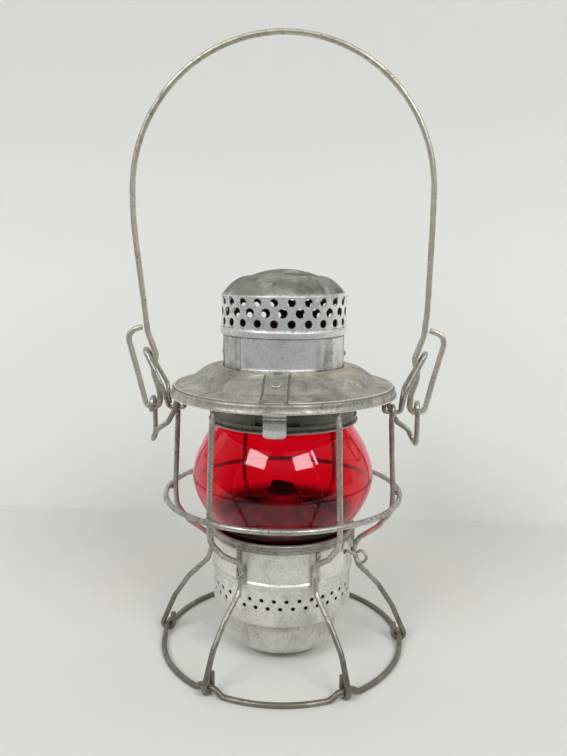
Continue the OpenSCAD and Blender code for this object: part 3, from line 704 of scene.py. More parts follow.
def shared(name, **defaults):
    """Turns a layer into a node group that is built once. A call of the layer then places it in a tree.

    The defaults name the group's inputs, and the dictionary that the layer returns names its outputs.
    """
    def wrap(layer):
        @functools.cache
        def group():
            """The node group, built by the first call."""
            tree = bpy.data.node_groups.new(name, "ShaderNodeTree")
            for label, value in defaults.items():
                kind = "NodeSocketColor" if isinstance(value, tuple) else "NodeSocketFloat"
                tree.interface.new_socket(name=label, in_out="INPUT", socket_type=kind).default_value = value
            given = tree.nodes.new("NodeGroupInput").outputs
            made = layer(tree, {label: Signal(given[label]) for label in defaults})
            for label in made:
                kind = "NodeSocketColor" if label == "Color" else "NodeSocketFloat"
                tree.interface.new_socket(name=label, in_out="OUTPUT", socket_type=kind)
            feed(tree.nodes.new("NodeGroupOutput"), made)
            return tree

        def place(tree, **values):
            """Places the group with its inputs, and returns its outputs by name."""
            node = tree.nodes.new("ShaderNodeGroup")
            node.node_tree = group()
            feed(node, values)
            return {socket.name: Signal(socket) for socket in node.outputs}
        return place
    return wrap


def laid(mask, given, second):
    """What most layers put out: a second colour over the base where the mask is high, and the mask."""
    return {"Color": mixed(mask, given["Base"], given[second]), "Mask": mask}


@shared("Mottled patina", Base=GREY, Shade=GREY, Bloom=GREY, Scale=60.0, Amount=1.0)
def patina_layer(tree, given):
    """Patina: wide clouds and small blotches take the base colour to a shade and to a pale bloom."""
    place, scale, amount = place_of(tree), given["Scale"], given["Amount"]
    cloud = noise(place, scale * 0.45, 3, 0.5, 0.4)
    blotch = noise(place, scale * 2.2, 6, 0.62, 0.8)
    grain = noise(place, scale * 22.0, 3, 0.6)
    tone = cloud * 0.5 + blotch * 0.5
    colour = mixed(between(tone, 0.47, 0.64) * amount, given["Base"], given["Shade"])
    colour = mixed(between(tone, 0.49, 0.36) * amount, colour, given["Bloom"])
    speckle = between(grain, 0.42, 0.66, 0.86, 1.1)
    grey = put(tree, "CombineColor", {0: speckle, 1: speckle, 2: speckle})
    colour = mixed(amount, colour, mixed(1.0, colour, grey, "MULTIPLY"))
    return {"Color": colour, "Tone": tone, "Relief": blotch * 0.7 + grain * 0.3}


@shared("Dark specks", Base=GREY, Speck=GREY, Scale=900.0, Share=0.3)
def speck_layer(tree, given):
    """Small dark pits: the peaks of a fine noise, gathered where a wider noise is high."""
    place = place_of(tree)
    fine = noise(place, given["Scale"], 2, 0.5)
    wide = noise(place, given["Scale"] * 0.06, 3, 0.5)
    return laid(between(fine - (0.80 - given["Share"] * wide), 0.0, 0.07), given, "Speck")


@shared("Edge wear", Base=GREY, Bare=GREY, Grime=GREY, Amount=1.0)
def edge_wear_and_light_layer(tree, given):
    """Edge wear: bare metal shows on the points that bend outwards, and grime lies in the folds.

    The edge value also carries the pieces' painted light: painted highlights show as bare metal and
    painted shade as grime.
    """
    bend = put(tree, "Attribute", out="Fac", attribute_name="edge")
    ragged = (noise(place_of(tree), 420.0, 4, 0.6) - 0.5) * 0.9
    worn_and_highlight = between(bend + ragged, 0.28, 0.75) * given["Amount"]
    fouled_and_shade = between(ragged - bend, 0.02, 0.32) * given["Amount"]
    colour = mixed(fouled_and_shade, mixed(worn_and_highlight, given["Base"], given["Bare"]), given["Grime"])
    return {"Color": colour, "Worn_and_highlight": worn_and_highlight, "Fouled_and_shade": fouled_and_shade}


@shared("Settled dust", Base=GREY, Dust=GREY, Amount=0.5)
def dust_layer(tree, given):
    """Dust: it lies where the surface faces up, in patches."""
    facing = put(tree, "SeparateXYZ", {0: put(tree, "TexCoord", out="Normal")}, "Z")
    patches = between(noise(place_of(tree), 38.0, 5, 0.6, 0.5), 0.32, 0.62)
    return laid(patches * between(facing, 0.15, 0.85) * given["Amount"], given, "Dust")


@shared("Stains", Base=GREY, Stain=GREY)
def stain_and_light_layer(tree, given):
    """Stains: a colour where the mesh's own stain value is high, with a border that a noise makes ragged.

    The stain value also carries painted shade and painted highlights.
    """
    share = put(tree, "Attribute", out="Fac", attribute_name="stain")
    ragged = between(noise(place_of(tree), 95.0, 5, 0.6, 0.4), 0.32, 0.68, -0.3, 0.3)
    return laid(between(share + ragged * share, 0.1, 0.9), given, "Stain")


@shared("Spun lines", Scale=1.0)
def spun_layer(tree, given):
    """Spinning marks: noise read only by the distance from the axis and the height, so it runs round Z."""
    x, y, z = axes_of(tree)
    radius = put(tree, "Math", {0: x * x + y * y}, operation="SQRT")
    across = put(tree, "CombineXYZ", {0: radius, 1: x * 0.02, 2: z})
    return {"Lines": noise(across, given["Scale"] * 1400.0, 2, 0.6)}


@shared("Rust by the floor", Base=GREY, Rust=GREY, Amount=1.0)
def rust_layer(tree, given):
    """Rust spots near the floor: patches of noise that fade out with the height."""
    reach = between(axes_of(tree)[2], 26 * MM, 4 * MM)
    patches = between(noise(place_of(tree), 62.0, 5, 0.65, 0.6), 0.53, 0.68)
    return laid(reach * patches * given["Amount"], given, "Rust")


# Finishes

def shade_of(colour, factor=1.0, warmth=1.0):
    """A colour made lighter or darker, and warmer where warmth is above 1."""
    red, green, blue = colour
    tone = (red * factor * warmth, green * factor, blue * factor / warmth)
    return tuple(min(channel, 1.0) for channel in tone) + (1.0,)


def new_material(name):
    """A material with a Principled BSDF. Returns the material, its tree and the shader."""
    material = bpy.data.materials.new(name)
    material.use_nodes = True
    return material, material.node_tree, material.node_tree.nodes["Principled BSDF"]


def aged_metal(colour, name, scale=60.0, mottle=1.0, specks=0.3, dust=0.3, wear=1.0, rust=0.0, spun=0.25,
               metallic=0.75, roughness=0.5, bump=0.25, shade=0.62, bloom=1.28, warmth=1.0, stain=None):
    """Old tinned metal: patina, pits, spun lines, dust, rust and worn edges over one base colour, with the
    painted shade and highlights that the pieces' edge and stain values carry.
    """
    material, tree, shader = new_material(name)
    patina = patina_layer(tree, Base=shade_of(colour), Shade=shade_of(colour, shade, warmth),
                          Bloom=shade_of(colour, bloom), Scale=scale, Amount=mottle)
    pits = speck_layer(tree, Base=patina["Color"], Speck=shade_of(colour, 0.22, 1.1), Share=specks)
    edges = edge_wear_and_light_layer(tree, Base=pits["Color"], Bare=shade_of(colour, 1.75),
                       Grime=shade_of(colour, 0.36, 1.08), Amount=wear)
    base = edges["Color"]
    if stain:
        base = stain_and_light_layer(tree, Base=base, Stain=(*stain, 1.0))["Color"]
    settled = dust_layer(tree, Base=base, Dust=shade_of(colour_of("dust")), Amount=dust)
    rusted = rust_layer(tree, Base=settled["Color"], Rust=shade_of(colour_of("rust")), Amount=rust)
    covered_and_shaded = settled["Mask"] + (rusted["Mask"] + edges["Fouled_and_shade"])
    rough = between(patina["Tone"], 0.3, 0.7, roughness - 0.1, roughness + 0.16) + covered_and_shaded * 0.3
    relief = patina["Relief"] + spun_layer(tree)["Lines"] * spun - pits["Mask"] * 0.4 + rusted["Mask"] * 0.3
    feed(shader, {"Base Color": rusted["Color"], "Roughness": rough - edges["Worn_and_highlight"] * 0.15,
                  "Metallic": between(covered_and_shaded, 0.0, 1.0, 1.0, 0.25) * metallic,
                  "Normal": bumped(relief, bump, 0.25 * MM)})
    return material


# What sets each metal apart from the plain aged metal
METALS = {
    "wire": dict(name="Tinned wire", scale=110.0, specks=0.38, rust=0.35, dust=0.1, spun=0.0, roughness=0.36,
                 wear=0.5, bump=0.5, mottle=0.9, stain=(0.20, 0.18, 0.145)),
    "bail": dict(name="Handled wire", scale=90.0, dust=0.0, spun=0.0, roughness=0.42, wear=0.4, bump=0.4,
                 shade=0.66, warmth=1.06),
    "hood": dict(name="Hood sheet", scale=58.0, dust=0.2, specks=0.27, spun=0.35, roughness=0.46, shade=0.54,
                 bloom=1.42, stain=(0.60, 0.54, 0.40)),
    "chimney": dict(name="Chimney sheet", scale=68.0, dust=1.0, specks=0.26, spun=0.3, roughness=0.42,
                    shade=0.60, bloom=1.26, stain=(0.11, 0.10, 0.08)),
    "holder": dict(name="Holder sheet", scale=48.0, dust=0.15, specks=0.12, roughness=0.46, mottle=0.85,
                   wear=0.22, shade=0.74, bloom=1.12, stain=(0.20, 0.185, 0.16)),
    "pot": dict(name="Pot sheet", scale=50.0, dust=0.1, specks=0.12, spun=0.3, roughness=0.48, mottle=0.85,
                shade=0.72, bloom=1.12, stain=(0.02, 0.018, 0.015)),
    "collar": dict(name="Collar sheet", scale=50.0, dust=0.05, specks=0.2, roughness=0.38),
    "latch": dict(name="Latch steel", scale=70.0, dust=0.25, specks=0.25, spun=0.0, roughness=0.4),
    "strap": dict(name="Strap steel", dust=0.25, spun=0.0, roughness=0.45),
    "solder": dict(name="Solder", scale=140.0, dust=0.1, spun=0.0, roughness=0.55),
    "brass": dict(name="Burner brass", scale=80.0, dust=0.2, specks=0.2, metallic=0.9, roughness=0.4),
    "cone": dict(name="Scorched sheet", scale=80.0, dust=0.0, specks=0.1, roughness=0.6,
                 stain=(0.01, 0.01, 0.01)),
}


def wick_finish():
    """Woven cotton: two sets of threads as crossed sine waves, charred at the top."""
    material, tree, shader = new_material("Cotton wick")
    x, _, z = axes_of(tree)
    thread_width = 0.9 * MM
    thread = 2 * math.pi / thread_width
    along, across = (put(tree, "Math", {0: axis * thread}, operation="SINE") for axis in (z, x))
    weave = along * across
    cotton = colour_of("wick")
    woven = mixed(between(weave, -1, 1), shade_of(cotton, 0.7), shade_of(cotton, 1.05))
    feed(shader, {"Base Color": mixed(between(z, 94 * MM, 101 * MM), woven, (0.03, 0.025, 0.02, 1)),
                  "Roughness": 0.9, "Normal": bumped(weave, 0.6, 0.2 * MM)})
    return material


def glass_finish():
    """Clear ruby glass. Rays from the lamps pass it as through a red film, so that what is inside is lit."""
    material, tree, shader = new_material("Ruby glass")
    ruby = colour_of("glass")
    # The foot darkens to a near-black maroon: painted shade.
    foot = between(axes_of(tree)[2], (SEAT_Z + 17) * MM, (SEAT_Z + 9) * MM)
    feed(shader, {"Base Color": mixed(foot, shade_of(ruby), (0.10, 0.0, 0.004, 1)), "Roughness": 0.0,
                  "IOR": 1.46, "Transmission Weight": 1.0,
                  "Normal": bumped(noise(place_of(tree), 38.0, 2, 0.5), 0.25, 0.4 * MM)})
    film = put(tree, "BsdfTransparent", {0: shade_of(tuple(math.sqrt(c) for c in ruby))})
    mixed_shader(tree, put(tree, "LightPath", out="Is Shadow Ray"), Signal(shader.outputs[0]), film)
    return material


@functools.cache
def finish_of(key):
    """A finish by its key, made the first time it is used."""
    if key in METALS:
        return aged_metal(colour_of(key), **METALS[key])
    return {"wick": wick_finish, "glass": glass_finish}[key]()


# Routes of the wires

def base_ring_path():
    """A circle that rises by one wire over each foot.

    The rise is level within 2.6 degrees of the foot, then half a cosine wave down.
    """
    angle = np.linspace(0, 360, 360, endpoint=False)
    away = np.abs((angle[:, None] - FOOT_ANGLES + 540) % 360 - 180).min(axis=1)
    lift = (1 + np.cos(np.pi * np.clip((away - 2.6) / 5.4, 0, 1))) / 2
    return round_z(angle, BASE_R, BASE_Z + lift * (WIRE_R + FOOT_TURN - BASE_Z))


def ring_path(radius, height):
    """A level circle."""
    return round_z(np.linspace(0, 360, 240, endpoint=False), radius, height)


def guard_path(index):
    """A guard from its hooked foot, in at the holder's waist and out again past the middle ring.

    A side guard ends in an open eye round the stays' pivot, and the others end under the top ring.
    """
    angle, foot, waist = GUARD_ANGLES[index], FOOT_ANGLES[index], WAIST_ANGLES[index]
    line = [
        (foot, BASE_R - FOOT_TURN, 13.5), (foot, BASE_R - FOOT_TURN, WIRE_R),
        (foot, BASE_R + 1.52 * FOOT_TURN, WIRE_R), (foot, BASE_R - 5, WIRE_R + 24.5),
        ((foot + waist) / 2, KINK_R + 17.1, KINK_Z - 25), (waist, KINK_R + 3.1, KINK_Z - 11),
        (waist, KINK_R, KINK_Z), (waist, KINK_R + 3.1, KINK_Z + 7.6),
        ((angle + waist) / 2, GUARD_R - 9.6, RING_Z - 25), (angle, GUARD_R - 0.6, RING_Z - 14),
        (angle, GUARD_R, RING_Z),
    ]
    bends = [FOOT_TURN * 0.94, FOOT_TURN * 0.94, 20, 14, 8, 7, 8, 8, 12, 40]
    if index in (GUARD_NODES["guard_side_left"], GUARD_NODES["guard_side_right"]):
        turn = WIRE_R + size("stay_wire") / 2 + 0.3
        eye = [(turn, -8), (turn, turn), (-turn, turn), (-turn, -2.5)]
        ends = [(np.sign(angle) * EYE_X, y, PIVOT_Z + z) for y, z in eye]
        bends += [20, turn * 0.97, turn * 0.97]
    else:
        top = TOP_Z - WIRE_R
        ends = [round_z(angle, GUARD_TOP_R + 0.4, HOOD_Z - 9), round_z(angle, TOP_R, top - 3.5),
                round_z(angle, TOP_R, top - GAP)]
        bends += [10, 4]
    return evenly(bent([round_z(*place) for place in line] + ends, bends), 1.2)


def ear_path(side):
    """A bail ear: from under the top ring, out and down, and up round the bail's loop."""
    turn = (size("ear_wire") + size("bail_wire")) / 2 + 0.8
    y, bottom, top = 9, PIVOT_Z - 20.8, PIVOT_Z + 2 + turn
    corners = np.array([
        (math.sqrt(TOP_R ** 2 - y ** 2), y, TOP_Z - WIRE_R - GAP), (EYE_X - 1.5, y, PIVOT_Z + 1.8),
        (EYE_X + 4, y, PIVOT_Z - 8.5), (EAR_X - 4.6, y - 0.4, PIVOT_Z - 13.5), (EAR_X - 1, y - 1, bottom),
        (EAR_X, -turn, bottom), (EAR_X, -turn, top), (EAR_X, turn, top), (EAR_X, turn, PIVOT_Z - 2.5),
    ]) * [side, side, 1]
    return evenly(bent(corners, [4, 5, 4, 3.5, 5, turn * 0.97, turn * 0.97]), 0.9)


def bail_path():
    """The bail: a loop in each ear, a kink that each stay holds, and a round bow set a little to -X."""
    half = (size("ear_wire") + size("bail_wire")) / 2
    inside, outside = EAR_X - half - 1.4, EAR_X + half + 1
    bow_r, bow_x = 96, -2.5
    bow_z = high("bail")[2] - size("bail_wire") / 2 * FLAT_SIDE - bow_r
    sides = []
    for side in (1, -1):
        loop = np.array([
            (outside + 1.7, 54), (outside + 12.4, 50.5), (outside + 4.7, 20.3), (outside, 0), (inside, 0),
            (inside + 0.5, 11), (inside + 4.8, 24.3), (inside + 2.2, 35.5), (inside + 7.8, 50.8),
            (inside + 9.3, 65.8),
        ]) * [side, 1] + [0, PIVOT_Z]
        bow_end = [(side * bow_r + bow_x, bow_z - 18), (side * bow_r + bow_x, bow_z)]
        sides.append(bent([*loop, *bow_end], [7, 60, 4.4, 4.4, 20, 14, 6, 16, 60, 150]))
    flat = np.concatenate([sides[0], arc((bow_x, bow_z), bow_r, 2, 178, 90), sides[1][::-1]])
    return evenly(np.insert(flat, 1, 0, axis=1), 1.3)


def stay_path(side):
    """A stay: a hairpin with one end in the side guard's eye and the bail's wire between its legs."""
    half = (size("stay_wire") + size("bail_wire")) / 2 + 0.8
    top_x = EAR_X - (size("ear_wire") + size("bail_wire")) / 2 + 7.8
    corners = np.array([
        (EYE_X - 5.5, 0, 6), (EYE_X - 5.5, 0, 0), (EYE_X + 5.4, 0, 0), (EYE_X + 7.7, -half - 3.2, 15),
        (top_x, -half, 39.2), (top_x, half, 39.2), (EYE_X + 7.7, half + 3.2, 15), (EYE_X + 5.6, 3.9, 1.5),
    ]) * [side, 1, 1] + [0, 0, PIVOT_Z]
    return evenly(bent(corners, [1.9, 2.6, 9, half * 0.96, half * 0.96, 9]), 0.8)


# Operators: wires

def by_height(none, full, most=1.0):
    """A stain that grows evenly with the height, from none at one height to the most at another."""
    return lambda places: most * np.clip((places[:, 2] - none) / (full - none), 0, 1)


# Wires are browned at the floor, and not above the guards' feet: partly dirt, partly painted shade that
# leaves the upper wires lighter.
NEAR_FLOOR = by_height(70, 15, 0.9)


class LANTERN_OT_rings(bpy.types.Operator):
    """Make the base ring, the middle ring and the top ring"""

    bl_idname = "lantern.rings"
    bl_label = "Rings"

    def execute(self, context):
        wire, waver = size("frame_wire"), size("waver")
        base = strayed(base_ring_path(), waver * 0.6, 70, 11)
        middle = strayed(ring_path(MIDDLE_R, RING_Z), waver, 80, 12)
        make_wire("base_ring", base, wire, closed=True, stain=NEAR_FLOOR)
        make_wire("middle_ring", middle, wire, closed=True)
        make_wire("top_ring", ring_path(TOP_R, TOP_Z), wire, closed=True)
        return {"FINISHED"}


class LANTERN_OT_guards(bpy.types.Operator):
    """Make the six bent guards"""

    bl_idname = "lantern.guards"
    bl_label = "Guards"

    def execute(self, context):
        for seed, (node, index) in enumerate(GUARD_NODES.items()):
            route = strayed(guard_path(index), size("waver"), 60, 20 + seed)
            make_wire(node, route, size("frame_wire"), stain=NEAR_FLOOR)
        return {"FINISHED"}


class LANTERN_OT_ears(bpy.types.Operator):
    """Make the two ears that the bail hangs in"""

    bl_idname = "lantern.ears"
    bl_label = "Bail ears"

    def execute(self, context):
        for node, side in (("bail_ear_left", -1), ("bail_ear_right", 1)):
            make_wire(node, ear_path(side), size("ear_wire"))
        return {"FINISHED"}


class LANTERN_OT_bail(bpy.types.Operator):
    """Make the bail and its two stays"""

    bl_idname = "lantern.bail"
    bl_label = "Bail and stays"

    def execute(self, context):
        make_wire("bail", bail_path(), size("bail_wire"), 20, name="bail_handle", finish="bail", body="bail")
        for body, side in (("stay_left", -1), ("stay_right", 1)):
            make_wire("bail_" + body, stay_path(side), size("stay_wire"), body=body)
        return {"FINISHED"}


def clip_line(angle):
    """A holder clip: a short upright beside a guard's waist."""
    height = np.linspace(HOLDER_Z + 2 * GAP, RIM_Z - GAP, 18)
    return round_z(angle + 4 * np.sign(angle), HOLDER_R + size("clip_wire") / 2 + GAP, height)


def joint_beads():
    """Solder at the guards' crossings with the middle ring, the base ring and the holder's clips."""
    beads = []
    for index, (angle, foot, waist) in enumerate(zip(GUARD_ANGLES, FOOT_ANGLES, WAIST_ANGLES)):
        axes = np.array([round_z(angle, 1, 0), round_z(angle + 90, 1, 0), (0, 0, 1)])
        for seed, centre, half in (
                (40, round_z(angle, (GUARD_R + MIDDLE_R) / 2, RING_Z), [1.5, 2.3, 2.3]),
                (50, round_z(foot, BASE_R, FRAME_WIRE + GAP / 2), [2.3, 2.3, 1.3]),
                (60, round_z(waist + 2 * np.sign(angle), HOLDER_R + 1.2, KINK_Z), [1.2, 1.7, 3.4])):
            beads.append(blob(centre, axes * np.array(half)[:, None], seed + index))
    return beads


class LANTERN_OT_clips(bpy.types.Operator):
    """Make the holder clips and the solder that joins the frame"""

    bl_idname = "lantern.clips"
    bl_label = "Clips and solder"

    def execute(self, context):
        clips = [swept(clip_line(angle), size("clip_wire"), 14) for angle in WAIST_ANGLES]
        make_piece("holder_clip_wires", clips, "wire", "holder_clips")
        make_piece("solder_beads", joint_beads(), "solder", "")
        return {"FINISHED"}


# Operators: holder, skirt and pot

def holder_wall():
    """The holder: a plain turned wall with a slot for the raiser's shaft."""
    half = math.degrees(SLOT_HALF / HOLDER_R)
    middle = RAISER_ANGLE + math.degrees(np.linalg.norm(RAISER_AT[:2]) / HOLDER_R) + 360
    wall = np.linspace(middle - 360 + half, middle - half, 188)
    angles = np.append(wall, [middle - half / 3, middle + half / 3])
    slot_low, slot_high = RAISER_AT[2] - SLOT_HALF, RIM_Z - 0.5
    heights = stretches([HOLDER_Z + GAP, slot_low, slot_high, RIM_TOP_Z - 0.5], [14, 8, 6])
    outer, inner = (round_z(angles, radius, heights[:, None])
                    for radius in (HOLDER_R, HOLDER_R - size("thickness")))
    centre = (heights[1:] + heights[:-1]) / 2
    keep = np.ones((len(centre), len(angles)), bool)
    keep[(centre > slot_low) & (centre < slot_high), len(wall) - 1:] = False
    return dented([cut_sheet(outer, inner, keep, True)], size("dents") * 0.5, 40, 3)


def rim_roll():
    """The rolled rim: a flat inner side and a soft outer bulge with a crease below its top."""
    inside = HOLDER_R + GAP
    corners = [(inside, RIM_Z), (HOLDER_R + 1.5, RIM_Z), (HOLDER_R + 2, RIM_Z + 1.3),
               (HOLDER_R + 1.5, RIM_Z + 2.4), (HOLDER_R + 2, RIM_Z + 3.6), (HOLDER_R + 1.7, RIM_TOP_Z),
               (inside, RIM_TOP_Z)]
    line = [*bent(corners, [0.6, 0.8, 0.8, 1.0, 1.2], 15), corners[0]]
    return dented([turned(evenly(line, 0.3)[:-1])], 0.1, 50, 4)


def slot_tab():
    """The folded tab: a small plate flat on the holder whose far side turns outwards."""
    side = np.linalg.norm(RAISER_AT[:2])
    base = HOLDER_R + 0.5
    plan = evenly(bent([(side - 4.2, base), (side + 4.2, base), (side + 4.2, base + 2.4)], [0.9], 12), 0.4)
    up = np.linspace(RIM_Z - 5, RIM_Z - GAP, 9)[:, None, None] * [0, 0, 1]
    outer, inner = (OUTWARDS * line[:, 1:] + ASIDE * line[:, :1] + up
                    for line in (beside(plan, size("thickness")), plan))
    return cut_sheet(outer, inner, np.ones((len(up) - 1, len(plan) - 1), bool))


class LANTERN_OT_holder(bpy.types.Operator):
    """Make the globe holder, its seat, its rolled rim and the tab over the raiser's slot"""

    bl_idname = "lantern.holder"
    bl_label = "Globe holder"

    def execute(self, context):
        thickness = size("thickness")
        ledge = [(HOLDER_R - thickness - GAP, SEAT_Z - GAP), (HOLDER_R - 11, SEAT_Z - GAP)]
        seat = turned_sheet(evenly(ledge, 1.5), thickness)
        make_piece("globe_holder_wall", [holder_wall()], "holder", "globe_holder")
        make_piece("globe_seat_ledge", [seat], "collar", "globe_seat", slot="holder_sheet")
        make_piece("holder_rim_roll", [rim_roll()], "strap", "holder_rim", slot="holder_sheet")
        make_piece("slot_tab_fold", [slot_tab()], "holder", "slot_tab")
        return {"FINISHED"}


def skirt_radius(height):
    """The skirt's outer radius: a straight wall that swells to a bead below the holder."""
    return SKIRT_R + 0.9 * smooth(height, HOLDER_Z - 4.4, HOLDER_Z - 3)


def skirt_stain_and_shade(places):
    """A faint stain on the bead, and on the inner face behind the holes a strong one that is painted shade.
    """
    radius, _, z = around_z(places)
    inside = (radius < SKIRT_R - size("thickness") * 0.6) & (z > HOLES_Z - 1)
    return 0.22 * (z > HOLDER_Z - 4) + 1.5 * inside


class LANTERN_OT_skirt(bpy.types.Operator):
    """Make the perforated air skirt"""

    bl_idname = "lantern.skirt"
    bl_label = "Air skirt"

    def execute(self, context):
        thickness, hole, count = size("thickness"), size("skirt_hole"), 36
        middle, from_edge = (HOLES_Z + HOLES_TOP_Z) / 2, 2.55
        rows = [(HOLES_Z, middle, HOLES_Z + from_edge, hole, SKIRT_TURN + 180 / count),
                (middle, HOLES_TOP_Z, HOLES_TOP_Z - from_edge, hole, SKIRT_TURN)]
        below = [(38, SKIRT_Z + 0.6), (SKIRT_R - 6, SKIRT_Z + 0.35),
                 *arc((SKIRT_R - 4.4, SKIRT_Z + 4.7), 4.4, -82, 0, 12),
                 (SKIRT_R, SKIRT_Z + 7.5), (SKIRT_R, HOLES_Z)]
        bead = bent([(SKIRT_R, HOLES_TOP_Z), (SKIRT_R, HOLDER_Z - 4.5), (SKIRT_R + 1, HOLDER_Z - 2.9),
                     (SKIRT_R + 1, HOLDER_Z - 1.3), (SKIRT_R + 0.1, HOLDER_Z)], [0.8, 0.9, 0.9], 12)
        parts = [perforated_wall(skirt_radius, thickness, rows, count, 6),
                 open_turned(below, thickness, 0, 216, SKIRT_TURN),
                 open_turned(bead, thickness, -1, 216, SKIRT_TURN)]
        shell = dented(parts, size("dents") * 0.5, 40, 3)
        make_piece("air_skirt_wall", [shell], "holder", "air_skirt", stain=skirt_stain_and_shade)
        return {"FINISHED"}


class LANTERN_OT_pot(bpy.types.Operator):
    """Make the oil pot and its cover"""

    bl_idname = "lantern.pot"
    bl_label = "Oil pot"

    def execute(self, context):
        thickness = size("thickness")
        body = bent([(0, POT_Z + 1.2), (14, POT_Z + 1.1), (25, POT_Z), (POT_R, POT_Z + 0.2),
                     (POT_R, TANK_Z), (TANK_R - 1.2, TANK_Z + 0.3), (TANK_R, TANK_Z + 1.6),
                     (TANK_R, POT_TOP_Z)], [12, 4, 8, 0.4, 0.6, 0.8], 6)
        shell = turned_sheet(evenly(body, 0.9), thickness, dents=size("dents"), seed=7)
        # Above the tank's step, inside the skirt, the pot is stained nearly black as painted shade.
        make_piece("oil_pot", [shell], "pot", "pot", stain=by_height(TANK_Z - 0.6, TANK_Z + 0.9))
        neck_r, cover_z = 13.6, POT_TOP_Z + 0.7
        cover = bent([(TANK_R, cover_z), (TANK_R - 1.6, cover_z + 2), (TANK_R - 14, cover_z + 3.6),
                      (neck_r + 0.9, cover_z + 4), (neck_r, cover_z + 4.6),
                      (neck_r, high("pot_cover")[2])], [2, 8, 0.4, 0.4], 12)
        make_piece("oil_pot_cover", [turned_sheet(evenly(cover, 0.6), thickness * 0.9, 128)], "collar",
                   "pot_cover", slot="pot_sheet")
        return {"FINISHED"}


# Operators: burner and globe

def burner_cone():
    """The cone: a turned sheet whose flat top rises to a rim round the wick's slot."""
    rim_h = 3.6
    line = evenly(bent([(GALLERY_R, CONE_Z), (GALLERY_R - 0.4, CONE_Z + 2), (14, CONE_Z + 7),
                        (14, CONE_TOP_Z - 14), (13, CONE_TOP_Z - 8), (9.5, CONE_TOP_Z - rim_h - 0.6),
                        (1.2, CONE_TOP_Z - rim_h)], [0.8, 1.5, 3, 4, 3], 8), 0.4)
    angles = RAISER_ANGLE + np.linspace(0, 360, 144, endpoint=False)
    faces = []
    for face in (line, beside(line, 0.5)):
        points = round_z(angles, np.maximum(face[:, :1], 0.9), face[:, 1:])
        away = np.hypot(np.maximum(np.abs(points @ OUTWARDS) - 5.6, 0), points @ ASIDE)
        points[..., 2] += rim_h * smooth(away, 3.9, 3.0)
        faces.append(points)
    middle = (faces[0][1:] + faces[0][:-1]) / 2
    slot = ((np.abs(middle @ ASIDE) < 2.3) & (np.abs(middle @ OUTWARDS) < 7.7)
            & (middle[..., 2] > CONE_TOP_Z - 5))
    return cut_sheet(*faces, ~slot, True)


class LANTERN_OT_burner(bpy.types.Operator):
    """Make the burner's gallery and cone, and give its other parts and the wick their finish"""

    bl_idname = "lantern.burner"
    bl_label = "Burner"

    def execute(self, context):
        bottom, wall, count = low("burner_gallery")[2], 0.6, 12
        rows = [(bottom, bottom + 8, bottom + 4, 3, RAISER_ANGLE + 180 / count)]
        holes = perforated_wall(lambda z: GALLERY_R + 0 * z, wall, rows, count, 8)
        above = open_turned([(GALLERY_R, bottom + 8), (GALLERY_R, high("burner_gallery")[2])], wall, -1, 96,
                            RAISER_ANGLE)
        make_piece("burner_gallery_wall", [holes, above], "brass", "burner_gallery")
        make_piece("burner_cone_cap", [burner_cone()], "cone", "burner_cone",
                   stain=by_height(CONE_TOP_Z - 7, CONE_TOP_Z - 5))
        for node in ("burner_base", "wick_tube", "raiser_wheels"):
            refinish(node, "brass")
        refinish("wick", "wick")
        return {"FINISHED"}


def globe_line():
    """The globe's outer line: it bulges from the foot and the neck to the widest place by a power law."""
    height = GLOBE_TOP_Z - SEAT_Z
    widest = SEAT_Z + 0.455 * height
    share = np.linspace(1, 0, 46)
    ends = ((GLOBE_FOOT_R, SEAT_Z + 0.06 * height), (GLOBE_NECK_R, GLOBE_TOP_Z - 0.095 * height))
    lower, upper = (
        np.stack([GLOBE_R - (GLOBE_R - end_r) * share ** 1.8, widest + (end_z - widest) * share], axis=1)
        for end_r, end_z in ends)
    foot = evenly([(GLOBE_FOOT_R, SEAT_Z), lower[0]], 0.8)
    neck = evenly([upper[0], (GLOBE_NECK_R, GLOBE_TOP_Z)], 0.8)
    return eased(np.concatenate([foot[:-1], lower, upper[-2::-1], neck[1:]]), 3, 2, -2)


class LANTERN_OT_globe(bpy.types.Operator):
    """Make the red glass globe"""

    bl_idname = "lantern.globe"
    bl_label = "Globe"

    def execute(self, context):
        make_piece("globe_glass", [turned_sheet(globe_line(), GLOBE_WALL, 256)], "glass", "globe", sharp=80)
        return {"FINISHED"}


# Operators: lid

def dome_height(radius):
    """The hood's dome: it starts steeply at the brim and levels out at the chimney by a power law."""
    share = (BRIM_R - radius) / (BRIM_R - CHIMNEY_R - 0.6)
    return DOME_Z + DOME_RISE * (1 - np.maximum(1 - share, 0) ** DOME_POWER)


def hood_height(radius):
    """The hood's top: the dome, and outside it the brim, a nearly flat cone."""
    slope = (DOME_Z - BRIM_EDGE_Z) / (BRIM_EDGE_R - BRIM_R)
    brim = DOME_Z - (radius - BRIM_R) * slope
    return np.where(radius < BRIM_R, dome_height(np.minimum(radius, BRIM_R)), brim)


def strap_half(radius):
    """Half of the latch strap's width, which grows from the chimney to the brim's edge."""
    share = (radius - CHIMNEY_R) / (BAND_R - CHIMNEY_R)
    return size("latch_width") / 2 - 0.7 * (1 - share)


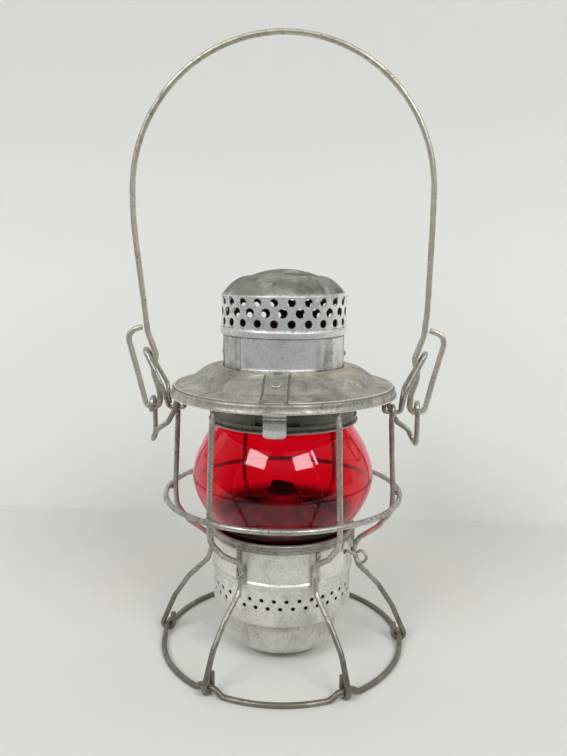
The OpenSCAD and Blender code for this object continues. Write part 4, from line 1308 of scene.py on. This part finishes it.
def hood_dirt_and_painted_light(places):
    """Painted shadow lines along the strap's sides, painted shade in the groove, darkening at the chimney's
    foot, and painted highlights on the band, the lip, the brim and the brim's edge.
    """
    x, y, z = places.T
    radius = np.hypot(x, y)
    on_band, on_top = radius > HOOD_R - 3, z > HOOD_Z + 6.5
    sides = bell(np.abs(x), strap_half(radius) + 0.3, 0.8) * (y < 0) * (z > BRIM_Z)
    foot = np.exp(-np.maximum(radius - CHIMNEY_R - 0.6, 0) / 1.6)
    groove = bell(z, HOOD_Z + 6.2, 0.28) * on_band
    band = bell(z, HOOD_Z + 3.2, 2.2) * on_band
    lip = bell(z, HOOD_Z + 0.7, 0.5) * (radius > HOOD_R - 1)
    edge = bell(radius, BRIM_EDGE_R - 0.2, 0.7) * on_top
    brim = np.interp(radius, (BRIM_R - 1, BRIM_R + 1), (0, 1)) * on_top
    return 2.2 * sides + 0.12 * foot + 1.2 * groove - 0.44 * band - 0.35 * lip - 0.3 * edge - 0.25 * brim


def hood_tan_and_highlight(places):
    """Pale tan on the hood: a ring at the chimney's foot, and a patch towards +X on the dome that is partly a
    painted highlight.
    """
    radius, angle, z = around_z(places)
    ring = np.exp(-np.maximum(radius - CHIMNEY_R - 2, 0) / 3.4)
    patch = bell(angle, 52, 26) * bell(radius, CHIMNEY_R + 9, 6)
    return (0.62 * ring + 0.5 * patch) * (z > DOME_Z)


def pressed_flat(points):
    """Draws the band in to its plain radius where the hinge's strap lies on it."""
    x, y, z = points.T
    radius = np.hypot(x, y)
    near = np.interp(np.abs(x), (5, 8), (1, 0)) * (y > 0) * (z > HOOD_Z + 1.4)
    scale = 1 + near * (np.minimum(radius, BAND_R - 0.05) / radius - 1)
    return points * np.stack([scale, scale, np.ones_like(scale)], axis=1)


class LANTERN_OT_hood(bpy.types.Operator):
    """Make the hood with its rolled rim"""

    bl_idname = "lantern.hood"
    bl_label = "Hood"

    def execute(self, context):
        roll = [(-1.6, 0.5), (-0.6, 0.05), (-0.1, 0.2), (0, 0.7), (-0.2, 1.3), (-0.8, 2.4)]
        band = [(-1.1, 3.6), (-1.25, 4.8), (-1.5, 5.6), (-1.9, 6.0)]
        groove = [(-2.5, 6.2), (-2.35, 6.5), (-2.3, 6.8), (-2.7, 7.05)]
        rim = np.array(roll + band + groove) + [HOOD_R, HOOD_Z]
        brim = evenly([(BRIM_EDGE_R, BRIM_EDGE_Z + 0.05), (BRIM_R + 0.8, DOME_Z - 0.12)], 0.6)
        radius = np.linspace(BRIM_R - 0.2, CHIMNEY_R + 0.3, 44)
        dome = np.stack([radius, dome_height(radius)], axis=1)
        line = eased(evenly(np.concatenate([rim, brim, dome]), 0.36), 2)
        points, quads = turned(sheet_outline(line, size("thickness") * 0.7), 256)
        shell = dented([(pressed_flat(points), quads)], size("dents"), 60, 9)
        make_piece("hood_dome", [shell], "hood", "hood", "lid", grime=hood_dirt_and_painted_light, stain=hood_tan_and_highlight)
        return {"FINISHED"}


def chimney_streaks_and_shade(places):
    """Brown upright streaks: sine waves of the angle, strong at the sides and weak in front, where the darker
    sides are partly painted shade. Soot inside, laid on thick as painted shade.
    """
    radius, degrees, z = around_z(places)
    angle = np.radians(degrees)
    waves = np.sin(9 * angle + 1.2) * 0.5 + np.sin(23 * angle) * 0.3 + np.sin(41 * angle + 0.7) * 0.2
    aside = np.clip((np.abs(angle + math.radians(5)) - 0.55) / 0.3, 0, 1)
    before_seam = 1 - np.clip((angle - math.radians(SEAM_ANGLE)) / 0.03, 0, 1)
    foot = np.exp(-(z - CHIMNEY_Z) / 1.2)
    outer = 0.33 * aside + 0.2 * waves * (0.4 + aside) + 0.18 * before_seam + 0.4 * foot
    return np.clip(np.where(radius < CHIMNEY_INSIDE_R, 1.5, outer), 0, 1.5)


def chimney_grime_and_shade(places):
    """Dirt along the seam and under the vent's bead, and soot on the whole inner face, laid on thick as
    painted shade.
    """
    radius, angle, z = around_z(places)
    under = np.exp(-np.abs(z - BEAD_Z + 0.3) / 0.5)
    return bell(angle, SEAM_ANGLE - 0.4, 0.8) + under - 0.1 + 2 * (radius < CHIMNEY_INSIDE_R)


def chimney_rivet(side):
    """A rivet's head on the chimney's side: its height falls from the middle to the rim as a cosine."""
    share = np.linspace(0, 1, 10)
    out = np.array([side, 0, 0.0])
    return button(out * (CHIMNEY_R + GAP) + [0, 0, CHIMNEY_Z + 8.2], out, 2.2 * share,
                  1.1 * np.cos(share * math.pi / 2) ** 0.8, 28)


class LANTERN_OT_chimney(bpy.types.Operator):
    """Make the chimney with its lap seam, and its two side rivets"""

    bl_idname = "lantern.chimney"
    bl_label = "Chimney"

    def execute(self, context):
        foot, lap_width, lap_height = CHIMNEY_Z + 0.6, 12, 0.45
        line = bent([(CHIMNEY_R, low("chimney")[2]), (CHIMNEY_R, foot - 1), (CHIMNEY_R + 0.5, foot),
                     (CHIMNEY_R, foot + 1.4), (CHIMNEY_R, high("chimney")[2])], [0.5, 0.6, 0.8], 12)
        points, quads = turned(sheet_outline(evenly(line, 0.7), size("thickness")), 240)
        past = (around_z(points)[1] - SEAM_ANGLE + 180) % 360 - 180
        lap = np.where((past >= 0) & (past < lap_width), 1 - past / lap_width, 0)[:, None]
        points = points + unit(points * [1, 1, 0]) * lap * lap_height
        shell = dented([(points, quads)], size("dents") * 0.6, 45, 9)
        make_piece("chimney_wall", [shell], "chimney", "chimney", "lid", grime=chimney_grime_and_shade,
                   stain=chimney_streaks_and_shade)
        make_piece("chimney_rivet_heads", [chimney_rivet(-1), chimney_rivet(1)], "collar", "chimney_rivets",
                   "lid", "chimney_sheet")
        return {"FINISHED"}


def cap_radius(height):
    """The vent's outer radius: a straight wall that turns out to a small ridge at the foot of the dome."""
    return VENT_R + 0.6 * smooth(height, CAP_Z - 1.9, CAP_Z - 0.7)


def cap_height(radius):
    """The vent's domed top: a full shoulder by a power law, and a crown that rises from it as a parabola."""
    out = np.clip((radius - SHOULDER_R) / (CAP_RIM_R - SHOULDER_R), 0, 1)
    crown = np.clip(1 - (radius / SHOULDER_R) ** 2, 0, 1)
    return CAP_Z + SHOULDER_RISE * (1 - out ** 2.2) + (CAP_TOP_Z - CAP_Z - SHOULDER_RISE) * crown


def vent_soot_and_shade(places):
    """Brown soot on the domed top, thinner on its edge, and thick soot inside, laid on as painted shade too.
    """
    radius, _, z = around_z(places)
    top = np.interp(radius, (CAP_RIM_R - 2, CAP_RIM_R - 0.4), (0.67, 0)) * (z > CAP_Z)
    return np.where((radius < VENT_R - 0.5) & (z < CAP_Z + 2), 1.5, top)


class LANTERN_OT_vent(bpy.types.Operator):
    """Make the perforated vent with its bead and its domed top"""

    bl_idname = "lantern.vent"
    bl_label = "Vent"

    def execute(self, context):
        thickness, hole, count = size("thickness"), size("vent_hole"), 24
        start = VENT_TURN - 180 / count
        lower, middle, upper = (VENT_Z + share * (CAP_Z - VENT_Z) for share in (0.163, 0.514, 0.856))
        foot, low_edge, high_edge = VENT_Z + 0.3, (lower + middle) / 2 - 0.2, (middle + upper) / 2 + 0.2
        rows = [(foot, low_edge, lower, hole, VENT_TURN),
                (low_edge, high_edge, middle, size("vent_mid_hole"), VENT_TURN + 180 / count),
                (high_edge, CAP_Z, upper, hole, VENT_TURN)]
        bead = bent([(VENT_R + 0.1, BEAD_Z), (VENT_R + 0.75, BEAD_Z + 0.5), (VENT_R + 0.75, VENT_Z - 2.2),
                     (VENT_R, VENT_Z - 0.8), (VENT_R, foot)], [0.3, 1.4, 0.8], 10)
        edge = bent([(CAP_RIM_R, CAP_Z), (CAP_RIM_R + 0.05, CAP_Z + 0.9), (CAP_RIM_R - 1.1, CAP_Z + 2.6)],
                    [0.9], 12)
        radius = stretches([CAP_RIM_R - 1.2, SHOULDER_R, 0], [26, 24])
        dome = eased(np.concatenate([edge, np.stack([radius, cap_height(radius)], axis=1)]), 1, 2)
        parts = [perforated_wall(cap_radius, thickness, rows, count, 8),
                 open_turned(bead, thickness, 0, 192, start), open_turned(dome, thickness, -1, 192, start)]
        # The perforated band between the bead and the top is made lighter and smoother.
        make_piece("vent_cap", [dented(parts, size("dents") * 0.7, 45, 9)], "chimney", "vent", "lid",
                   grime=lambda places: -0.28 * (places[:, 2] < CAP_Z) * (places[:, 2] > VENT_Z),
                   stain=vent_soot_and_shade)
        return {"FINISHED"}


class LANTERN_OT_collar(bpy.types.Operator):
    """Make the collar under the hood that holds the globe down, and behind its slots a dark lining that is
    painted shade
    """

    bl_idname = "lantern.collar"
    bl_label = "Globe collar"

    def execute(self, context):
        thickness = size("thickness")
        bottom, slot_low, slot_high = low("globe_retainer")[2], GLOBE_TOP_Z - 2.6, GLOBE_TOP_Z
        rolled = bent(np.array([(-0.7, 0.5), (0.6, 0), (1.5, 0.9), (0.4, 1.9), (0, 2.6)])
                      + [COLLAR_R, bottom], [0.4, 0.8, 0.5], 15)
        heights = stretches([slot_low, slot_high, high("globe_retainer")[2]], [4, 6])[1:]
        line = np.array([*rolled, (COLLAR_R, bottom + 3.2), (COLLAR_R + 0.3, slot_low - 0.4),
                         (COLLAR_R + 0.3, slot_low), *((COLLAR_R, height) for height in heights)])
        angles = np.linspace(0, 360, 180, endpoint=False)
        outer, inner = (round_z(angles, face[:, :1], face[:, 1:])
                        for face in (line, beside(line, thickness * 0.8)))
        middle = (line[1:, 1] + line[:-1, 1]) / 2
        in_band = (middle > slot_low) & (middle < slot_high)
        in_slot = np.abs((angles + 46) % 90 - 45) < 17
        wall = cut_sheet(outer, inner, ~(in_band[:, None] & in_slot), True)
        lining = bent([(COLLAR_R - 2, GLOBE_TOP_Z - 4.4), (COLLAR_R - 2, GLOBE_TOP_Z + 0.6),
                       (GLOBE_NECK_R - 7.6, GLOBE_TOP_Z + 0.8)], [0.5], 15)
        ledge = turned_sheet(evenly(lining, 0.5), thickness * 0.6)
        make_piece("globe_collar", [wall, ledge], "collar", "globe_retainer retainer_flange", "lid",
                   grime=lambda places: -0.8 * (places[:, 2] < bottom + 1.6))
        return {"FINISHED"}


def latch_strap():
    """The strap: a plate that follows the hood's dome and brim, with soft side ribs and an oval eyelet."""
    radius = np.linspace(CHIMNEY_R + 1, BRIM_EDGE_R - 0.1, 110)[:, None]
    half = strap_half(radius)
    across = np.linspace(-1, 1, 41) * half
    away = np.hypot(across / 3.0, (radius - CHIMNEY_R - 5) / 3.4)
    relief = (0.16 * bell(np.abs(across), half - 0.9, 0.6) + 0.45 * bell(away, 1.2, 0.2)
              + 0.35 * bell(radius, BRIM_EDGE_R - 0.7, 0.5))
    height = hood_height(radius) + 0.25
    top, bottom = (xyz(across, -radius, face) for face in (height + 0.7 + relief, height))
    centre_away = (away[1:, 1:] + away[:-1, :-1] + away[1:, :-1] + away[:-1, 1:]) / 4
    return cut_sheet(top, bottom, centre_away > 1)


def latch_rivet():
    """A set rivet, square to the dome: a round plate with a raised ring and a shallow hollow."""
    here = float(dome_height(LATCH_RIVET_R))
    slope = float(dome_height(LATCH_RIVET_R - 0.5) - dome_height(LATCH_RIVET_R + 0.5))
    out = unit(np.array([0, -slope, 1]))
    reach = np.array([0, 1.2, 1.9, 2.4, 2.8, 3.1, 3.2, 3.2])
    rise = np.array([0.12, 0.16, 0.4, 0.5, 0.4, 0.16, 0.05, 0])
    return button(np.array([0, -LATCH_RIVET_R, here]) + out * 1.05, out, reach, rise, 36, (1.0, 0, 0))


def latch_spring():
    """The spring tab: a thin strip that leaves the hood's inside, with two rolls and a flared lip.

    Its profile is carried across the width, which narrows at the lower corners as a quarter circle.
    """
    root, knee, under = BRIM_R - 7, BRIM_R - 4, 2.7
    bulge_r = TOP_R - WIRE_R - 1.4
    lower = np.array([(0, -1.0), (-1.6, -2.6), (-0.7, -3.4), (-2.2, -4.4), (-1.2, -6.0), (-1.7, -10),
                      (-0.3, -15.4)]) + [bulge_r, HOOD_Z]
    corners = [(root, dome_height(root) - under), (knee, dome_height(knee) - under - 0.2),
               (BRIM_R - 1.8, DOME_Z - 1.4), (BRIM_R - 0.7, HOOD_Z + 3.4), *lower]
    line = evenly(bent(corners, [1.5, 1.5, 3, 0.9, 0.5, 0.4, 0.5, 1.2, 6], 8), 0.35)
    corner = 2.2
    above = np.clip((line[:, 1:] - line[-1, 1]) / corner, 0, 1)
    half = size("latch_width") / 2 - 0.2 - corner * (1 - np.sqrt(1 - (1 - above) ** 2))
    across = np.linspace(-1, 1, 31) * half
    belly = 0.35 * (1 - (across / half) ** 2)
    outer, inner = (xyz(across, -face[:, :1] - belly, face[:, 1:]) for face in (beside(line, 0.7), line))
    return cut_sheet(outer, inner, np.ones((len(line) - 1, 30), bool))


class LANTERN_OT_latch(bpy.types.Operator):
    """Make the latch strap, its eyelet and rivet, and the spring tab"""

    bl_idname = "lantern.latch"
    bl_label = "Latch"

    def execute(self, context):
        make_piece("latch_strap_plate", [latch_strap()], "strap", "latch_strap", "lid")
        make_piece("latch_rivet_head", [latch_rivet()], "strap", "latch_rivets", "lid")
        make_piece("latch_spring_tab", [latch_spring()], "latch", "latch_spring", "latch")
        return {"FINISHED"}


class LANTERN_OT_hinge(bpy.types.Operator):
    """Give the hinge's CAD parts their metal"""

    bl_idname = "lantern.hinge"
    bl_label = "Lid hinge"

    def execute(self, context):
        for node in ("hinge_bracket", "hinge_strap", "hinge_rivet"):
            refinish(node, "hood")
        refinish("hinge_pin", "wire")
        return {"FINISHED"}


class LANTERN_OT_raiser(bpy.types.Operator):
    """Make the wick raiser's shaft and thumb loop"""

    bl_idname = "lantern.raiser"
    bl_label = "Wick raiser"

    def execute(self, context):
        wire, end = size("raiser_wire"), HOLDER_R + 4.5
        shaft = RAISER_AT + RAISER_OUT * np.linspace(-10.65, end, 60)[:, None]
        make_wire("raiser_shaft", shaft, wire, 16, name="raiser_shaft_rod", body="raiser")
        turn = np.radians(np.linspace(205, 511, 60))
        loop_r = 3.7
        loop = np.stack([2.9 + loop_r + loop_r * np.cos(turn), np.linspace(0, 2.2, 60),
                         loop_r * np.sin(turn) - 1.8], axis=1)
        x, y, z = evenly([(GAP, 0, 0), (1.2, 0, 0), (2.3, 0, -0.5), *loop], 0.6).T[..., None]
        route = RAISER_AT + RAISER_OUT * (end + x) + ASIDE * y + z * [0, 0, 1]
        make_wire("raiser_loop", route, wire, 16, name="raiser_thumb_loop", body="raiser")
        return {"FINISHED"}


# Stage

def flat_plane(name, corners, material):
    """A plane through four corners."""
    mesh = bpy.data.meshes.new(name)
    mesh.from_pydata(corners, [], [(0, 1, 2, 3)])
    mesh.materials.append(material)
    plane = bpy.data.objects.new(name, mesh)
    bpy.context.scene.collection.objects.link(plane)


def paint(name):
    """Matt paint. Returns the material, its tree and its shader."""
    material, tree, shader = new_material(name)
    feed(shader, {"Roughness": 0.7, "Specular IOR Level": 0.05})
    return material, tree, shader


def table_paint(colour):
    """The table's paint. To mirrored rays the table ends a little in front of the lantern, in a dim room."""
    material, tree, shader = paint("Table paint")
    dim = between(axes_of(tree)[1], -0.25, -0.29) * put(tree, "LightPath", out="Is Glossy Ray")
    feed(shader, {"Base Color": mixed(dim, shade_of(colour), (0.03, 0.03, 0.03, 1))})
    return material


def wall_paint(colour):
    """The wall's paint: a little darker high up as painted shade, and clear from behind, so it hides nothing.
    """
    material, tree, shader = paint("Wall paint")
    high_up = between(axes_of(tree)[2], 0.2, 0.5)
    feed(shader, {"Base Color": mixed(high_up, shade_of(colour), shade_of(colour, 0.82))})
    mixed_shader(tree, put(tree, "NewGeometry", out="Backfacing"), Signal(shader.outputs[0]),
                 put(tree, "BsdfTransparent"))
    return material


def softbox(name, azimuth, width, radiance, elevation=38, height=14, distance=2.6):
    """An area lamp aimed at the globe. Angles are seen from the globe, in degrees, from the latch's side."""
    lamp = bpy.data.lights.new(name, "AREA")
    lamp.shape = "RECTANGLE"
    lamp.size = 2 * distance * math.tan(math.radians(width / 2))
    lamp.size_y = 2 * distance * math.tan(math.radians(height / 2))
    lamp.energy = radiance * lamp.size * lamp.size_y * math.pi
    holder = bpy.data.objects.new(name, lamp)
    bpy.context.scene.collection.objects.link(holder)
    lift, globe_z = math.radians(elevation), 0.12
    holder.location = round_z(azimuth, distance * math.cos(lift), globe_z + distance * math.sin(lift))
    holder.rotation_euler = Euler((math.pi / 2 - lift, 0, math.radians(azimuth)))


def room(scene, fill):
    """A pale world. Mirrored rays see a room that is dim low in front and pale at the sides and above."""
    scene.world = bpy.data.worlds.new("Room")
    scene.world.use_nodes = True
    tree = scene.world.node_tree
    direction = put(tree, "TexCoord", out="Generated")
    _, y, z = put(tree, "SeparateXYZ", {0: direction}, (0, 1, 2))
    mirrored = maths("MAXIMUM", between(y, -0.45, 0.05), between(z, 0.35, 0.8)) * 0.3 + 0.03
    rays = ("Is Glossy Ray", "Is Transmission Ray", "Is Camera Ray")
    glossy, passed, seen = put(tree, "LightPath", out=rays)
    strength = put(tree, "Mix", {0: maths("MAXIMUM", glossy, passed), 2: fill, 3: mirrored})
    strength = put(tree, "Mix", {0: seen, 2: strength, 3: 0.76})
    feed(tree.nodes["Background"], {"Color": (0.98, 0.99, 1.0, 1.0), "Strength": strength})


def make_camera(scene, stage):
    """A camera that looks at the globe's axis from the photograph's place."""
    camera = bpy.data.cameras.new("Camera")
    camera.lens = 33.76
    holder = bpy.data.objects.new("Camera", camera)
    scene.collection.objects.link(holder)
    turn = stage.camera_turn
    holder.location = (stage.camera_distance * math.sin(turn), -stage.camera_distance * math.cos(turn),
                       stage.camera_height)
    aim = Euler((math.pi / 2 - stage.camera_pitch, 0, turn)).to_matrix()
    holder.rotation_euler = (aim @ Euler((0, 0, stage.camera_roll)).to_matrix()).to_euler()
    scene.camera = holder


class LANTERN_OT_stage(bpy.types.Operator):
    """Make the floor, the backdrop, the lights and the camera"""

    bl_idname = "lantern.stage"
    bl_label = "Stage"

    def execute(self, context):
        scene = context.scene
        stage = scene.lantern_stage
        wide, wall_y, wall_top = 1.6, 0.243, 2.0
        flat_plane("table", [(-wide, -wide, 0), (wide, -wide, 0), (wide, wall_y, 0), (-wide, wall_y, 0)],
                   table_paint(stage.floor))
        flat_plane("backdrop", [(-wide, wall_y, 0), (wide, wall_y, 0), (wide, wall_y, wall_top),
                                (-wide, wall_y, wall_top)], wall_paint(stage.backdrop))
        for name, azimuth, width in (("left", -36.5, 25), ("right", 37.5, 26), ("strip", 54.5, 3)):
            softbox("softbox_" + name, azimuth, width, stage.softbox_radiance)
        room(scene, stage.fill)
        make_camera(scene, stage)
        scene.view_settings.view_transform = "Standard"
        return {"FINISHED"}


OPERATORS = [
    LANTERN_OT_stage, LANTERN_OT_rings, LANTERN_OT_guards, LANTERN_OT_ears, LANTERN_OT_clips,
    LANTERN_OT_holder, LANTERN_OT_skirt, LANTERN_OT_pot, LANTERN_OT_burner, LANTERN_OT_globe,
    LANTERN_OT_hood, LANTERN_OT_chimney, LANTERN_OT_vent, LANTERN_OT_collar, LANTERN_OT_latch,
    LANTERN_OT_hinge, LANTERN_OT_raiser, LANTERN_OT_bail,
]


class LANTERN_PT_panel(bpy.types.Panel):
    """Lists the lantern's pieces"""

    bl_label = "Lantern"
    bl_space_type = "VIEW_3D"
    bl_region_type = "UI"
    bl_category = "Lantern"

    def draw(self, context):
        for operator in OPERATORS:
            self.layout.operator(operator.bl_idname)
        for name in SETTINGS:
            box = self.layout.box()
            settings = getattr(context.scene, name)
            for key in settings.bl_rna.properties.keys():
                if key not in ("rna_type", "name"):
                    box.prop(settings, key)


CLASSES = [*SETTINGS.values(), *OPERATORS, LANTERN_PT_panel]


def register():
    """Registers the classes and gives the scene its settings."""
    for made in CLASSES:
        bpy.utils.register_class(made)
    for name, made in SETTINGS.items():
        setattr(bpy.types.Scene, name, PointerProperty(type=made))


def unregister():
    """Takes the settings and the classes away again."""
    for name in SETTINGS:
        delattr(bpy.types.Scene, name)
    for made in reversed(CLASSES):
        bpy.utils.unregister_class(made)


def main():
    """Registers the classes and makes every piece."""
    register()
    for operator in OPERATORS:
        family, name = operator.bl_idname.split(".")
        getattr(getattr(bpy.ops, family), name)()


if __name__ == "__main__":
    main()
